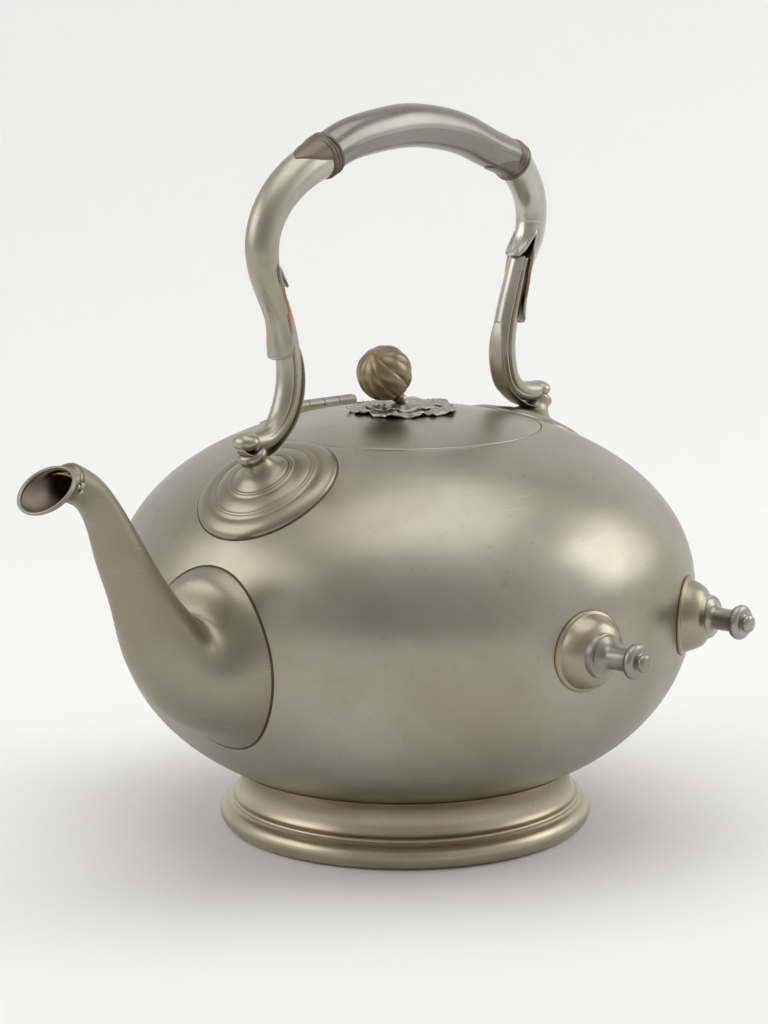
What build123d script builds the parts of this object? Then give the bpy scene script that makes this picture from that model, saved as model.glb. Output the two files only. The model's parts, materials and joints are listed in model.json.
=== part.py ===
from build123d import *
from math import atan2, cos, pi, radians, sin, sqrt
import os

# A tilting spirit kettle of plated sheet: an oblate vessel on a foot ring, with a
# swan-neck spout, a fixed bail handle on two stepped bases, a flush hinged lid with a
# melon finial, and four trunnion studs by which a stand carries and tips it.
# The origin is the middle of the foot's underside. +Z is up, the spout points along -X,
# the handle stands in the XZ plane and the lid is hinged on the +Y side.

# Vessel, two superellipse halves that meet at the widest place
vessel_radius = 130.0
widest_height = 107.0
crown_height = 80.6
crown_power = 2.13
belly_depth = 92.1
belly_power = 2.28
body_seam_drop = 5.0
sheet = 1.5

# Clearances
moving_gap = 0.35
pin_play = 0.05
seat_play = 0.05

# Lid and the mouth under it
lid_radius = 61.0
mouth_ring_width = 8.0
mouth_ring_ledge = 4.5
lid_flange_depth = 8.0
lid_flange_play = 1.2

# Lid hinge, a row of knuckles that stands on the seam
hinge_bearing = 9.0
hinge_length = 45.0
knuckle_count = 5
knuckle_radius = 2.6
hinge_inset = 1.0
hinge_pin_radius = 1.1
hinge_head_radius = 2.1
hinge_head_length = 1.6
leaf_sheet = 1.2
leaf_depth = 9.0

# Foot ring
foot_bead_radius = 5.2
foot_bead_centre = 78.9
foot_ridge_radius = 1.3
foot_waist_radius = 74.6
foot_joint_radius = 77.8

# Spout, as sections across its line from the vessel to the lip, each written as
# reach from the axis, height, climb of the line in degrees, half depth, half width
spout_sections = (
    (106.0, 95.5, -8.0, 42.0, 38.0),
    (119.5, 96.5, -6.0, 39.7, 36.0),
    (130.0, 97.3, -3.5, 32.8, 32.0),
    (141.3, 98.0, 14.6, 22.7, 24.5),
    (155.0, 110.5, 46.0, 16.6, 17.5),
    (167.7, 133.3, 61.5, 12.2, 12.2),
    (177.7, 152.2, 62.5, 10.1, 10.1),
    (186.6, 169.4, 56.0, 7.9, 7.9),
    (194.6, 178.6, 38.0, 7.5, 7.5),
    (203.0, 183.2, 24.0, 7.9, 7.9),
)
lip_sections = (
    (203.0, 183.2, 24.0, 7.9, 7.9),
    (211.0, 184.0, -4.0, 9.6, 11.2),
    (219.0, 182.4, -16.0, 10.0, 13.2),
    (229.0, 179.0, -22.0, 9.6, 13.6),
)
lip_rim_start_rise = 5.5
lip_rim_slope = 34.0
lip_plan_length = 14.5
lip_plan_width = 13.0
spout_wall = 1.3
pour_hole_radius = 17.0
pour_hole_height = 96.0
hood_ring = 7.4
hood_advance = 1.6
hood_thickness = 2.0
hood_tip_thickness = 1.1
hood_span = 150.0
pearl_radius = 1.5
pearl_rise = 2.5
pearl_turns = (13.0, 33.0)

# Handle bases, stepped discs that follow the shoulder
base_reach = 91.0
base_radius = 31.5
base_rise = 2.4
base_middle_radius = 22.5
base_middle_rise = 3.9
base_inner_radius = 14.0
base_inner_rise = 5.4
base_neck_foot = 11.0
base_neck_waist = 6.0
base_waist_height = 10.2
base_neck_radius = 4.6
base_neck_height = 18.0

# Handle line, as stations that each hold outward from the base's middle, up from the
# shoulder there, and the tube's radius, written from each base up to the grip
front_leg = (
    (9.0, 18.3, 3.2),
    (-2.0, 19.6, 4.3),
    (-9.5, 25.1, 5.2),
    (-13.8, 32.8, 5.6),
    (-16.0, 44.1, 5.5),
    (-14.3, 58.3, 5.3),
    (-9.0, 74.1, 5.2),
    (-3.7, 84.6, 5.2),
)
front_arm = (
    (-0.4, 95.0, 7.0),
    (-0.6, 102.5, 7.2),
    (-5.4, 113.6, 7.6),
    (-13.6, 122.2, 8.0),
    (-24.4, 129.0, 8.4),
    (-39.0, 134.9, 8.7),
)
front_grip = (
    (-53.8, 140.4, 9.0),
    (-69.5, 143.2, 9.3),
    (-91.0, 145.0, 9.6),
)
rear_leg = (
    (5.0, 17.2, 3.2),
    (-7.0, 19.0, 4.3),
    (-14.5, 24.0, 5.2),
    (-17.8, 31.3, 5.5),
    (-18.8, 42.6, 5.4),
    (-14.9, 58.9, 5.3),
    (-9.5, 73.0, 5.2),
    (-6.4, 80.3, 5.2),
)
rear_arm = (
    (-0.9, 89.0, 7.0),
    (1.5, 99.0, 7.1),
    (0.2, 108.3, 7.4),
    (-4.0, 116.0, 7.7),
    (-14.0, 125.9, 8.4),
)
rear_grip = (
    (-29.2, 131.7, 8.8),
    (-46.6, 138.4, 9.1),
    (-63.6, 142.5, 9.4),
)

# Leaf cup at the foot of each arm, which thickens towards its lobed edge; the flares are
# written from the lowest station up
cup_wall = 1.7
cup_flares = (3.6, 1.4, 0.2, 0.0)
cup_inner_up = 80.0
cup_inner_reach = -13.5
cup_outer_up = 55.0
cup_outer_reach = -7.0
cup_lobes = 3
cup_lobe_depth = 2.6
scroll_radius = 4.4
scroll_width = 1.25
scroll_rise = 0.6
collar_rise = 1.1
collar_ridges = 3
collar_length = 6.4
tongue_length = 21.0
tongue_width = 13.0
tongue_rise = 0.8

# Trunnion studs, two on each side, turned on pins that lie along Y
stud_height = 102.0
stud_bearings = (76.0, 112.0)
flange_radius = 17.2
flange_lip = 1.2
flange_root = 4.8
flange_rise = 9.0
flange_swell_radius = 13.1
flange_swell_rise = 5.9
flange_top_radius = 8.0
pin_collar_radius = 9.6
pin_collar_length = 4.0
pin_shaft_radius = 4.9
pin_shaft_length = 14.0
pin_ring_radius = 7.6
pin_ring_length = 4.6
pin_bead_radius = 4.1
pin_tenon_radius = 3.4
pin_tenon_length = 5.0

# Finial, a lobed bud on a stem that is bolted through the lid over a leaf rosette
bud_radius = 12.2
bud_lean = 37.0
bud_lobes = 9
bud_groove = 0.9
bud_twist = 55.0
bud_fullness = 0.96
stem_radius = 2.6
stem_height = 6.1
stem_reach = 5.0
leaf_spread = 24.0
leaf_lobes = 5
leaf_lobe = 1.8
leaf_thickness = 1.6
nut_radius = 5.5
nut_height = 4.0

os.makedirs("parts", exist_ok=True)


def keep(piece, name):
    """Label a finished piece and write it."""
    piece.part.label = name
    export_step(piece.part, f"parts/{name}.step")


def shoulder_height(radius):
    """Height of the vessel's crown at a radius."""
    share = (radius / vessel_radius) ** crown_power
    return widest_height + crown_height * (1 - share) ** (1 / crown_power)


def half_meridian(radius, height, power, steps=6):
    """Points of one superellipse half, from its pole to the widest place."""
    turns = [pi / 2 * (1 - step / steps) for step in range(steps + 1)]
    return [(radius * abs(cos(t)) ** (2 / power), height * sin(t) ** (2 / power)) for t in turns]


def vessel_solid(inset):
    """The whole vessel's shape, inset from its outside by a distance."""
    radius = vessel_radius - inset
    crown = [
        (x, widest_height + y)
        for x, y in half_meridian(radius, crown_height - inset, crown_power)
    ]
    belly = [
        (x, widest_height - y)
        for x, y in half_meridian(radius, belly_depth - inset, belly_power)
    ]
    with BuildPart() as solid:
        with BuildSketch(Plane.XZ):
            with BuildLine():
                Spline(*crown, tangents=((1, 0), (0, -1)))
                Spline(*belly[::-1], tangents=((0, -1), (-1, 0)))
                Line(belly[0], crown[0])
            make_face()
        revolve(axis=Axis.Z)
    return solid.part


def fitted_disc(middle, normal, radius, rise):
    """Disc on the vessel whose top follows the vessel at a rise."""
    with BuildPart() as disc:
        with Locations(Plane(origin=middle, z_dir=normal)):
            Cylinder(radius, 2 * radius)
        add(vessel_solid(-rise), mode=Mode.INTERSECT)
    return disc.part


vessel_outside = vessel_solid(0)
vessel_inside = vessel_solid(sheet)
tall = 4 * vessel_radius
mouth_radius = lid_radius + moving_gap

# Vessel shell in two spun halves that are soldered a little below the widest place, open
# at the mouth and where the spout joins
body_seam = Plane.XY.offset(widest_height - body_seam_drop)
for half, kept in (("crown", Keep.TOP), ("belly", Keep.BOTTOM)):
    with BuildPart() as body_half:
        add(vessel_outside)
        add(vessel_inside, mode=Mode.SUBTRACT)
        with Locations((0, 0, widest_height)):
            Cylinder(
                mouth_radius, tall,
                align=(Align.CENTER, Align.CENTER, Align.MIN),
                mode=Mode.SUBTRACT,
            )
        with Locations(Plane(origin=(-vessel_radius, 0, pour_hole_height), z_dir=(1, 0, 0))):
            Cylinder(pour_hole_radius, vessel_radius / 2, mode=Mode.SUBTRACT)
        split(bisect_by=body_seam, keep=kept)
    keep(body_half, f"body_{half}")

# Mouth ring, soldered under the shell's edge; its inner ledge stops the lid
with BuildPart() as ring_relief:
    add(vessel_inside)
    add(vessel_solid(sheet + moving_gap), mode=Mode.SUBTRACT)
    with Locations((0, 0, widest_height)):
        Cylinder(
            mouth_radius, tall,
            align=(Align.CENTER, Align.CENTER, Align.MIN),
            mode=Mode.INTERSECT,
        )
with BuildPart() as mouth_ring:
    add(vessel_inside)
    add(vessel_solid(2 * sheet), mode=Mode.SUBTRACT)
    with Locations((0, 0, widest_height)):
        Cylinder(
            mouth_radius - mouth_ring_ledge + mouth_ring_width, tall,
            align=(Align.CENTER, Align.CENTER, Align.MIN),
            mode=Mode.INTERSECT,
        )
        Cylinder(
            mouth_radius - mouth_ring_ledge, tall,
            align=(Align.CENTER, Align.CENTER, Align.MIN),
            mode=Mode.SUBTRACT,
        )
    add(ring_relief.part, mode=Mode.SUBTRACT)
keep(mouth_ring, "mouth_ring")

# Foot ring, a waisted band over a rolled bead, seated on the vessel's underside
with BuildPart() as foot_ring:
    foot_top = widest_height - belly_depth / 2
    bead_top = 2 * foot_bead_radius
    ridge_top = bead_top + 2 * foot_ridge_radius
    joint_height = widest_height - belly_depth * (
        1 - (foot_joint_radius / vessel_radius) ** belly_power
    ) ** (1 / belly_power)
    waist_height = (ridge_top + joint_height) / 2
    ridge_radius = foot_bead_centre - foot_ridge_radius
    with BuildSketch(Plane.XZ):
        with BuildLine():
            Line((foot_bead_centre - foot_bead_radius, 0), (foot_bead_centre, 0))
            ThreePointArc(
                (foot_bead_centre, 0),
                (foot_bead_centre + foot_bead_radius, foot_bead_radius),
                (foot_bead_centre, bead_top),
            )
            Line((foot_bead_centre, bead_top), (ridge_radius, bead_top))
            ThreePointArc(
                (ridge_radius, bead_top),
                (ridge_radius + foot_ridge_radius, bead_top + foot_ridge_radius),
                (ridge_radius, ridge_top),
            )
            ThreePointArc(
                (ridge_radius, ridge_top),
                (foot_waist_radius, waist_height),
                (foot_joint_radius, joint_height),
            )
            Line((foot_joint_radius, joint_height), (foot_joint_radius, foot_top))
            Line((foot_joint_radius, foot_top), (foot_joint_radius - sheet, foot_top))
            Line((foot_joint_radius - sheet, foot_top), (foot_joint_radius - sheet, joint_height))
            ThreePointArc(
                (foot_joint_radius - sheet, joint_height),
                (foot_waist_radius - sheet, waist_height),
                (foot_bead_centre - foot_bead_radius, foot_bead_radius),
            )
            Line(
                (foot_bead_centre - foot_bead_radius, foot_bead_radius),
                (foot_bead_centre - foot_bead_radius, 0),
            )
        make_face()
    revolve(axis=Axis.Z)
    add(vessel_outside, mode=Mode.SUBTRACT)
keep(foot_ring, "foot_ring")


def section_plane(section):
    """Plane across the spout at one of its sections."""
    reach, height, climb = section[:3]
    along = (-cos(radians(climb)), 0, sin(radians(climb)))
    return Plane(origin=(-reach, 0, height), x_dir=(0, 1, 0), z_dir=along)


def spout_solid(sections, inset):
    """Loft through oval sections, drawn in from the outside by a distance."""
    with BuildPart() as solid:
        for section in sections:
            with BuildSketch(section_plane(section)):
                Ellipse(section[4] - inset, section[3] - inset)
        loft()
    return solid.part


# Spout, an open tube whose oval root is fitted to the vessel
with BuildPart() as spout_tube:
    add(spout_solid(spout_sections, 0))
    add(spout_solid(spout_sections, spout_wall), mode=Mode.SUBTRACT)
    add(vessel_outside, mode=Mode.SUBTRACT)
keep(spout_tube, "spout_tube")

# Pouring lip, an open trough that widens from the spout's end
spout_end = section_plane(spout_sections[-1])
rim_plane = Plane(
    origin=spout_end.origin + Vector(0, 0, lip_rim_start_rise),
    x_dir=(0, 1, 0),
    z_dir=(-sin(radians(lip_rim_slope)), 0, cos(radians(lip_rim_slope))),
)
with BuildPart() as spout_lip:
    add(spout_solid(lip_sections, 0))
    add(spout_solid(lip_sections, spout_wall), mode=Mode.SUBTRACT)
    split(bisect_by=rim_plane, keep=Keep.BOTTOM)
    with BuildSketch():
        with Locations((-lip_sections[1][0], 0)):
            Ellipse(lip_plan_length, lip_plan_width)
    extrude(amount=tall, mode=Mode.INTERSECT)
keep(spout_lip, "spout_lip")

# Hood, a rolled bead over the top of the spout's end that thins towards its two tips
hood_centre = spout_end.origin + spout_end.z_dir * hood_advance


def hood_radial(angle):
    """Direction from the spout's line at an angle from the top of its end."""
    turn = radians(angle - 90)
    return spout_end.x_dir * cos(turn) + spout_end.y_dir * sin(turn)


with BuildPart() as spout_hood:
    for share, thickness in (
        (-1, hood_tip_thickness),
        (-0.5, hood_thickness),
        (0, hood_thickness),
        (0.5, hood_thickness),
        (1, hood_tip_thickness),
    ):
        radial = hood_radial(share * hood_span / 2)
        with BuildSketch(
            Plane(
                origin=hood_centre + radial * hood_ring,
                x_dir=radial,
                z_dir=spout_end.z_dir.cross(radial),
            )
        ):
            Circle(thickness)
    loft()
    add(spout_tube.part, mode=Mode.SUBTRACT)
    add(spout_lip.part, mode=Mode.SUBTRACT)
keep(spout_hood, "spout_hood")

with BuildPart() as spout_pearls:
    for side in (-1, 1):
        for turn in pearl_turns:
            radial = hood_radial(side * (hood_span / 2 + turn))
            with Locations(hood_centre + radial * (hood_ring + pearl_rise)):
                Sphere(pearl_radius)
    add(spout_tube.part, mode=Mode.SUBTRACT)
    add(spout_lip.part, mode=Mode.SUBTRACT)
    add(spout_hood.part, mode=Mode.SUBTRACT)
keep(spout_pearls, "spout_pearls")

# Handle, whose line runs from the front base over the top to the rear base
base_height = shoulder_height(base_reach)


def handle_points(side, stations):
    """Stations on one side of the handle as x, z and radius."""
    return [
        (side * (base_reach + outward), base_height + up, radius)
        for outward, up, radius in stations
    ]


front_line = handle_points(-1, front_leg + front_arm + front_grip)
rear_line = handle_points(1, rear_leg + rear_arm + rear_grip)
handle_route = Spline(*[(x, 0, z) for x, z, radius in front_line + rear_line[::-1]])


def route_share(station):
    """How far along the handle's line a station lies."""
    return handle_route.param_at_point((station[0], 0, station[1]))


def route_plane(station):
    """Plane across the handle's line at a station."""
    share = route_share(station)
    return Plane(origin=handle_route @ share, x_dir=(0, 1, 0), z_dir=handle_route % share)


def tube_solid(stations, growth=0.0):
    """Loft through round sections of the handle's line, in the line's own order."""
    with BuildPart() as solid:
        for station in sorted(stations, key=route_share):
            with BuildSketch(route_plane(station)):
                Circle(station[2] + growth)
        loft()
    return solid.part


def cup_stations(leg):
    """Stations of the leaf cup around the top of a leg."""
    return tuple(
        (outward, up, radius + cup_wall + flare)
        for (outward, up, radius), flare in zip(leg[-len(cup_flares):], cup_flares)
    )


# Arms and grip are one smooth tube that is parted across its line at the two collars
upper_points = handle_points(-1, cup_stations(front_leg) + front_arm + front_grip)
upper_points += handle_points(1, cup_stations(rear_leg) + rear_arm + rear_grip)
upper_tube = tube_solid(upper_points)
tongue_tube = tube_solid(upper_points, tongue_rise)
front_joint = route_plane(handle_points(-1, front_arm)[-1])
rear_joint = route_plane(handle_points(1, rear_arm)[-1])
with BuildPart() as handle_grip:
    add(upper_tube)
    split(bisect_by=front_joint, keep=Keep.TOP)
    split(bisect_by=rear_joint, keep=Keep.BOTTOM)
keep(handle_grip, "handle_grip")

# Slope of the shoulder at the middle of each handle base
slope_out = (base_reach / vessel_radius) ** (crown_power - 1) / vessel_radius
slope_up = ((base_height - widest_height) / crown_height) ** (crown_power - 1) / crown_height
shoulder_tilt = atan2(slope_out, slope_up)

for end, side, leg, joint, joint_radius, arm_side in (
    ("front", -1, front_leg, front_joint, front_arm[-1][2], Keep.BOTTOM),
    ("rear", 1, rear_leg, rear_joint, rear_arm[-1][2], Keep.TOP),
):
    leg_points = handle_points(side, leg)
    leg_tube = tube_solid(leg_points)
    foot_x, foot_z = leg_points[0][:2]
    scroll_centre = (foot_x + side * scroll_radius / 2, 0, foot_z + scroll_rise)
    with BuildPart() as handle_leg:
        add(leg_tube)
        with BuildSketch(Plane(origin=scroll_centre, x_dir=(0, 1, 0), z_dir=(1, 0, 0))):
            Ellipse(scroll_radius * scroll_width, scroll_radius)
            with Locations((0, -scroll_radius)):
                Rectangle(
                    2 * scroll_radius * scroll_width, 2 * scroll_radius, mode=Mode.SUBTRACT
                )
        revolve(axis=Axis(scroll_centre, (0, 1, 0)))
    keep(handle_leg, f"handle_leg_{end}")

    normal = Vector(side * sin(shoulder_tilt), 0, cos(shoulder_tilt))
    base_middle = Vector(side * base_reach, 0, base_height)
    base_steps = [
        fitted_disc(base_middle, normal, radius, rise)
        for radius, rise in (
            (base_radius, base_rise),
            (base_middle_radius, base_middle_rise),
            (base_inner_radius, base_inner_rise),
        )
    ]
    with BuildPart() as handle_base:
        add(base_steps)
        with BuildSketch(
            Plane(origin=base_middle, x_dir=(0, 1, 0), z_dir=Vector(0, 1, 0).cross(normal))
        ):
            with BuildLine():
                Polyline(
                    (base_neck_radius, base_neck_height),
                    (0, base_neck_height),
                    (0, 0),
                    (base_neck_foot, 0),
                    (base_neck_foot, base_inner_rise),
                )
                ThreePointArc(
                    (base_neck_foot, base_inner_rise),
                    (base_neck_waist, base_waist_height),
                    (base_neck_radius, base_neck_height),
                )
            make_face()
        revolve(axis=Axis(base_middle, normal))
        add(vessel_outside, mode=Mode.SUBTRACT)
        add(handle_leg.part, mode=Mode.SUBTRACT)
    keep(handle_base, f"handle_base_{end}")

    # Arm, whose lower end is a cup of leaf lips around the top of the leg
    edge_start = Vector(side * (base_reach + cup_inner_reach), base_height + cup_inner_up)
    edge_end = Vector(side * (base_reach + cup_outer_reach), base_height + cup_outer_up)
    edge_step = (edge_end - edge_start) / cup_lobes
    edge_bulge = Vector(edge_step.Y, -edge_step.X).normalized() * side * cup_lobe_depth
    with BuildPart() as handle_arm:
        add(upper_tube)
        split(bisect_by=joint, keep=arm_side)
        with BuildSketch(Plane.XZ):
            with BuildLine():
                for lobe in range(cup_lobes):
                    notch = edge_start + edge_step * lobe
                    ThreePointArc(notch, notch + edge_step / 2 + edge_bulge, notch + edge_step)
                Polyline(
                    edge_end,
                    (side * tall, edge_end.Y),
                    (side * tall, 0),
                    (0, 0),
                    (0, edge_start.Y),
                    edge_start,
                )
            make_face()
        extrude(amount=tall, both=True, mode=Mode.SUBTRACT)
        add(tube_solid(leg_points, seat_play), mode=Mode.SUBTRACT)
    keep(handle_arm, f"handle_arm_{end}")

    # Collar, a ridged band over the joint of arm and grip with one pointed tongue
    ridge = collar_length / collar_ridges / 2
    with BuildPart() as collar_tongue:
        with BuildSketch(
            Plane(origin=joint.origin, x_dir=(0, 1, 0), z_dir=joint.y_dir * -side)
        ):
            with BuildLine():
                Polyline(
                    (-tongue_width / 2, 0),
                    (0, -side * tongue_length),
                    (tongue_width / 2, 0),
                    close=True,
                )
            make_face()
        extrude(amount=tall)
        add(tongue_tube, mode=Mode.INTERSECT)
    with BuildPart() as handle_collar:
        with BuildSketch(Plane(origin=joint.origin, x_dir=(0, 1, 0), z_dir=joint.y_dir)):
            with Locations((joint_radius, 0)):
                Rectangle(collar_rise, collar_length)
            for step in range(collar_ridges):
                with Locations(
                    (joint_radius + collar_rise / 2, (2 * step + 1) * ridge - collar_length / 2)
                ):
                    Ellipse(collar_rise / 2, ridge)
        revolve(axis=Axis(joint.origin, joint.z_dir))
        add(collar_tongue.part)
        add(upper_tube, mode=Mode.SUBTRACT)
    keep(handle_collar, f"handle_collar_{end}")

# Trunnion studs, each a domed flange on the vessel's flank and a turned pin in it
for far, bank in ((-1, "near"), (1, "far")):
    for bearing, end in zip(stud_bearings, ("front", "rear")):
        outward = Vector(-cos(radians(bearing)), far * sin(radians(bearing)), 0)
        seat = outward * vessel_radius + Vector(0, 0, stud_height)
        flange_top = seat + outward * flange_rise
        flange_disc = fitted_disc(seat, outward, flange_radius, flange_lip)
        core_radius = flange_radius - flange_lip
        with BuildPart() as stud_flange:
            add(flange_disc)
            with BuildSketch(
                Plane(origin=seat, x_dir=(0, 0, 1), z_dir=Vector(0, 0, 1).cross(outward))
            ):
                with BuildLine():
                    Polyline(
                        (flange_top_radius, flange_rise),
                        (0, flange_rise),
                        (0, -flange_root),
                        (core_radius, -flange_root),
                        (core_radius, 0),
                    )
                    ThreePointArc(
                        (core_radius, 0),
                        (flange_swell_radius, flange_swell_rise),
                        (flange_top_radius, flange_rise),
                    )
                make_face()
            revolve(axis=Axis(seat, outward))
            add(vessel_outside, mode=Mode.SUBTRACT)
            with Locations(Plane(origin=flange_top, z_dir=(0, far, 0))):
                Cylinder(
                    pin_tenon_radius + seat_play, 2 * pin_tenon_length,
                    mode=Mode.SUBTRACT,
                )
        keep(stud_flange, f"stud_flange_{bank}_{end}")

        ring_start = pin_shaft_length
        ring_end = pin_shaft_length + pin_ring_length
        with BuildPart() as stud_pin:
            with BuildSketch(Plane(origin=flange_top, x_dir=(1, 0, 0), z_dir=(0, 0, far))):
                with BuildLine():
                    Polyline(
                        (0, -pin_tenon_length),
                        (pin_tenon_radius, -pin_tenon_length),
                        (pin_tenon_radius, -pin_collar_length),
                        (pin_collar_radius, -pin_collar_length),
                        (pin_collar_radius, pin_collar_length / 2),
                        (pin_shaft_radius, pin_collar_length),
                        (pin_shaft_radius, ring_start),
                    )
                    ThreePointArc(
                        (pin_shaft_radius, ring_start),
                        (pin_ring_radius, (ring_start + ring_end) / 2),
                        (pin_shaft_radius, ring_end),
                    )
                    Line((pin_shaft_radius, ring_end), (pin_bead_radius, ring_end))
                    ThreePointArc(
                        (pin_bead_radius, ring_end),
                        (pin_bead_radius * cos(pi / 4), ring_end + pin_bead_radius * sin(pi / 4)),
                        (0, ring_end + pin_bead_radius),
                    )
                    Line((0, ring_end + pin_bead_radius), (0, -pin_tenon_length))
                make_face()
            revolve(axis=Axis(flange_top, (0, far, 0)))
            add(stud_flange.part, mode=Mode.SUBTRACT)
        keep(stud_pin, f"stud_pin_{bank}_{end}")

# Lid hinge, across the mouth's edge and a little behind the side
hinge_reach = lid_radius + knuckle_radius - hinge_inset
hinge_turn = radians(hinge_bearing)
hinge_outward = Vector(sin(hinge_turn), cos(hinge_turn), 0)
hinge_along = Vector(cos(hinge_turn), -sin(hinge_turn), 0)
hinge_height = shoulder_height(hinge_reach) + knuckle_radius + moving_gap
hinge_centre = hinge_outward * hinge_reach + Vector(0, 0, hinge_height)
hinge_plane = Plane(origin=hinge_centre, x_dir=hinge_along, z_dir=(0, 0, 1))
hinge_line = Plane(origin=hinge_centre, z_dir=hinge_along)
slot = hinge_length / knuckle_count
leaf_start = knuckle_radius + moving_gap + pin_play


def hinge_strip(toward):
    """Leaf that lies on the vessel, on one side of the hinge's line."""
    with BuildPart() as strip:
        with Locations(hinge_plane):
            with Locations((0, toward * (leaf_start + leaf_depth / 2), 0)):
                Box(hinge_length, leaf_depth, 2 * leaf_depth)
        add(vessel_solid(-leaf_sheet), mode=Mode.INTERSECT)
    return strip.part


def hinge_knuckle(step, toward, clearance):
    """Knuckle in one slot, with a root that stays clear of the vessel."""
    along = (step - (knuckle_count - 1) / 2) * slot
    root_length = leaf_start + leaf_sheet
    with BuildPart() as knuckle:
        with Locations(hinge_plane):
            with Locations((along, toward * root_length / 2, -knuckle_radius)):
                Box(slot - moving_gap, root_length, 2 * knuckle_radius)
        add(vessel_solid(-clearance), mode=Mode.SUBTRACT)
        with Locations(hinge_line):
            with Locations((0, 0, along)):
                Cylinder(knuckle_radius, slot - moving_gap)
    return knuckle.part


def hinge_half(parity, toward, clearance):
    """Leaf with its knuckles: every second slot, on one side of the hinge's line."""
    pieces = [hinge_strip(toward)]
    for step in range(parity, knuckle_count, 2):
        pieces.append(hinge_knuckle(step, toward, clearance))
    with BuildPart() as leaf:
        add(pieces)
        with Locations(hinge_line):
            Cylinder(hinge_pin_radius + pin_play, tall, mode=Mode.SUBTRACT)
        add(vessel_outside, mode=Mode.SUBTRACT)
    return leaf.part


with BuildPart() as hinge_body_leaf:
    add(hinge_half(0, 1, 0))
keep(hinge_body_leaf, "hinge_body_leaf")

with BuildPart() as body_side:
    with Locations((0, 0, widest_height)):
        Cylinder(tall, tall, align=(Align.CENTER, Align.CENTER, Align.MIN))
        Cylinder(
            lid_radius - moving_gap, tall,
            align=(Align.CENTER, Align.CENTER, Align.MIN),
            mode=Mode.SUBTRACT,
        )
    add(vessel_solid(-moving_gap - seat_play), mode=Mode.INTERSECT)

with BuildPart() as hinge_lid_leaf:
    add(hinge_half(1, -1, moving_gap + seat_play))
    add(body_side.part, mode=Mode.SUBTRACT)
keep(hinge_lid_leaf, "hinge_lid_leaf")

with BuildPart() as hinge_pin:
    with Locations(hinge_line):
        Cylinder(hinge_pin_radius, hinge_length)
        for end in (-1, 1):
            with Locations((0, 0, end * (hinge_length - moving_gap + hinge_head_length) / 2)):
                Cylinder(hinge_head_radius, hinge_head_length)
keep(hinge_pin, "hinge_pin")

# Lid, a round piece of the crown with a flange below that keeps it in the mouth
lid_top = shoulder_height(0)
with BuildPart() as lid_shell:
    add(vessel_outside)
    add(vessel_inside, mode=Mode.SUBTRACT)
    with Locations((0, 0, widest_height)):
        Cylinder(
            lid_radius, tall,
            align=(Align.CENTER, Align.CENTER, Align.MIN),
            mode=Mode.INTERSECT,
        )
        Cylinder(stem_radius + seat_play, tall, mode=Mode.SUBTRACT)
keep(lid_shell, "lid_shell")

flange_outside = mouth_radius - mouth_ring_ledge - lid_flange_play
flange_bottom = shoulder_height(flange_outside) - sheet - lid_flange_depth
with BuildPart() as lid_flange:
    with Locations((0, 0, flange_bottom)):
        Cylinder(
            flange_outside, tall,
            align=(Align.CENTER, Align.CENTER, Align.MIN),
        )
        Cylinder(flange_outside - sheet, tall, mode=Mode.SUBTRACT)
    add(vessel_inside, mode=Mode.INTERSECT)
keep(lid_flange, "lid_flange")

# Finial, leaves under a lobed bud that leans toward the spout on a bolted stem
turns = [2 * pi * step / 40 for step in range(40)]
with BuildPart() as finial_leaves:
    with BuildSketch(Plane.XY.offset(widest_height)):
        with BuildLine():
            Spline(
                *[
                    (
                        (leaf_spread + leaf_lobe * cos(leaf_lobes * turn)) * cos(turn),
                        (leaf_spread + leaf_lobe * cos(leaf_lobes * turn)) * sin(turn),
                    )
                    for turn in turns
                ],
                periodic=True,
            )
        make_face()
        Circle(stem_radius + seat_play, mode=Mode.SUBTRACT)
    extrude(amount=tall)
    add(vessel_solid(-leaf_thickness), mode=Mode.INTERSECT)
    add(vessel_outside, mode=Mode.SUBTRACT)
keep(finial_leaves, "finial_leaves")

bud_along = Vector(-sin(radians(bud_lean)), 0, cos(radians(bud_lean)))
bud_base = Vector(-stem_reach, 0, lid_top + stem_height)
stem_bottom = lid_top - sheet - nut_height - leaf_thickness
with BuildPart() as finial_stem:
    with BuildSketch(Plane.XY.offset(lid_top + leaf_thickness)):
        Circle(stem_radius)
    with BuildSketch(Plane(origin=bud_base, x_dir=(0, 1, 0), z_dir=bud_along)):
        Circle(stem_radius)
    loft()
    with Locations((0, 0, stem_bottom)):
        Cylinder(
            stem_radius, lid_top + leaf_thickness - stem_bottom,
            align=(Align.CENTER, Align.CENTER, Align.MIN),
        )
keep(finial_stem, "finial_stem")

bud_steps = 8
bud_length = 2 * bud_radius * bud_fullness
with BuildPart() as finial_bud:
    for step in range(bud_steps + 1):
        share = step / bud_steps
        height = bud_length * (1 - cos(pi * share)) / 2
        swell = bud_radius * sqrt(1 - (bud_fullness * (2 * height / bud_length - 1)) ** 2)
        groove = bud_groove * swell / bud_radius
        twist = radians(bud_twist) * share
        with BuildSketch(
            Plane(origin=bud_base + bud_along * height, x_dir=(0, 1, 0), z_dir=bud_along)
        ):
            with BuildLine():
                for lobe in range(bud_lobes):
                    start, middle, stop = (
                        twist + 2 * pi * (lobe + part) / bud_lobes for part in (0, 0.5, 1)
                    )
                    ThreePointArc(
                        ((swell - groove) * cos(start), (swell - groove) * sin(start)),
                        (swell * cos(middle), swell * sin(middle)),
                        ((swell - groove) * cos(stop), (swell - groove) * sin(stop)),
                    )
            make_face()
    loft()
keep(finial_bud, "finial_bud")

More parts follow.
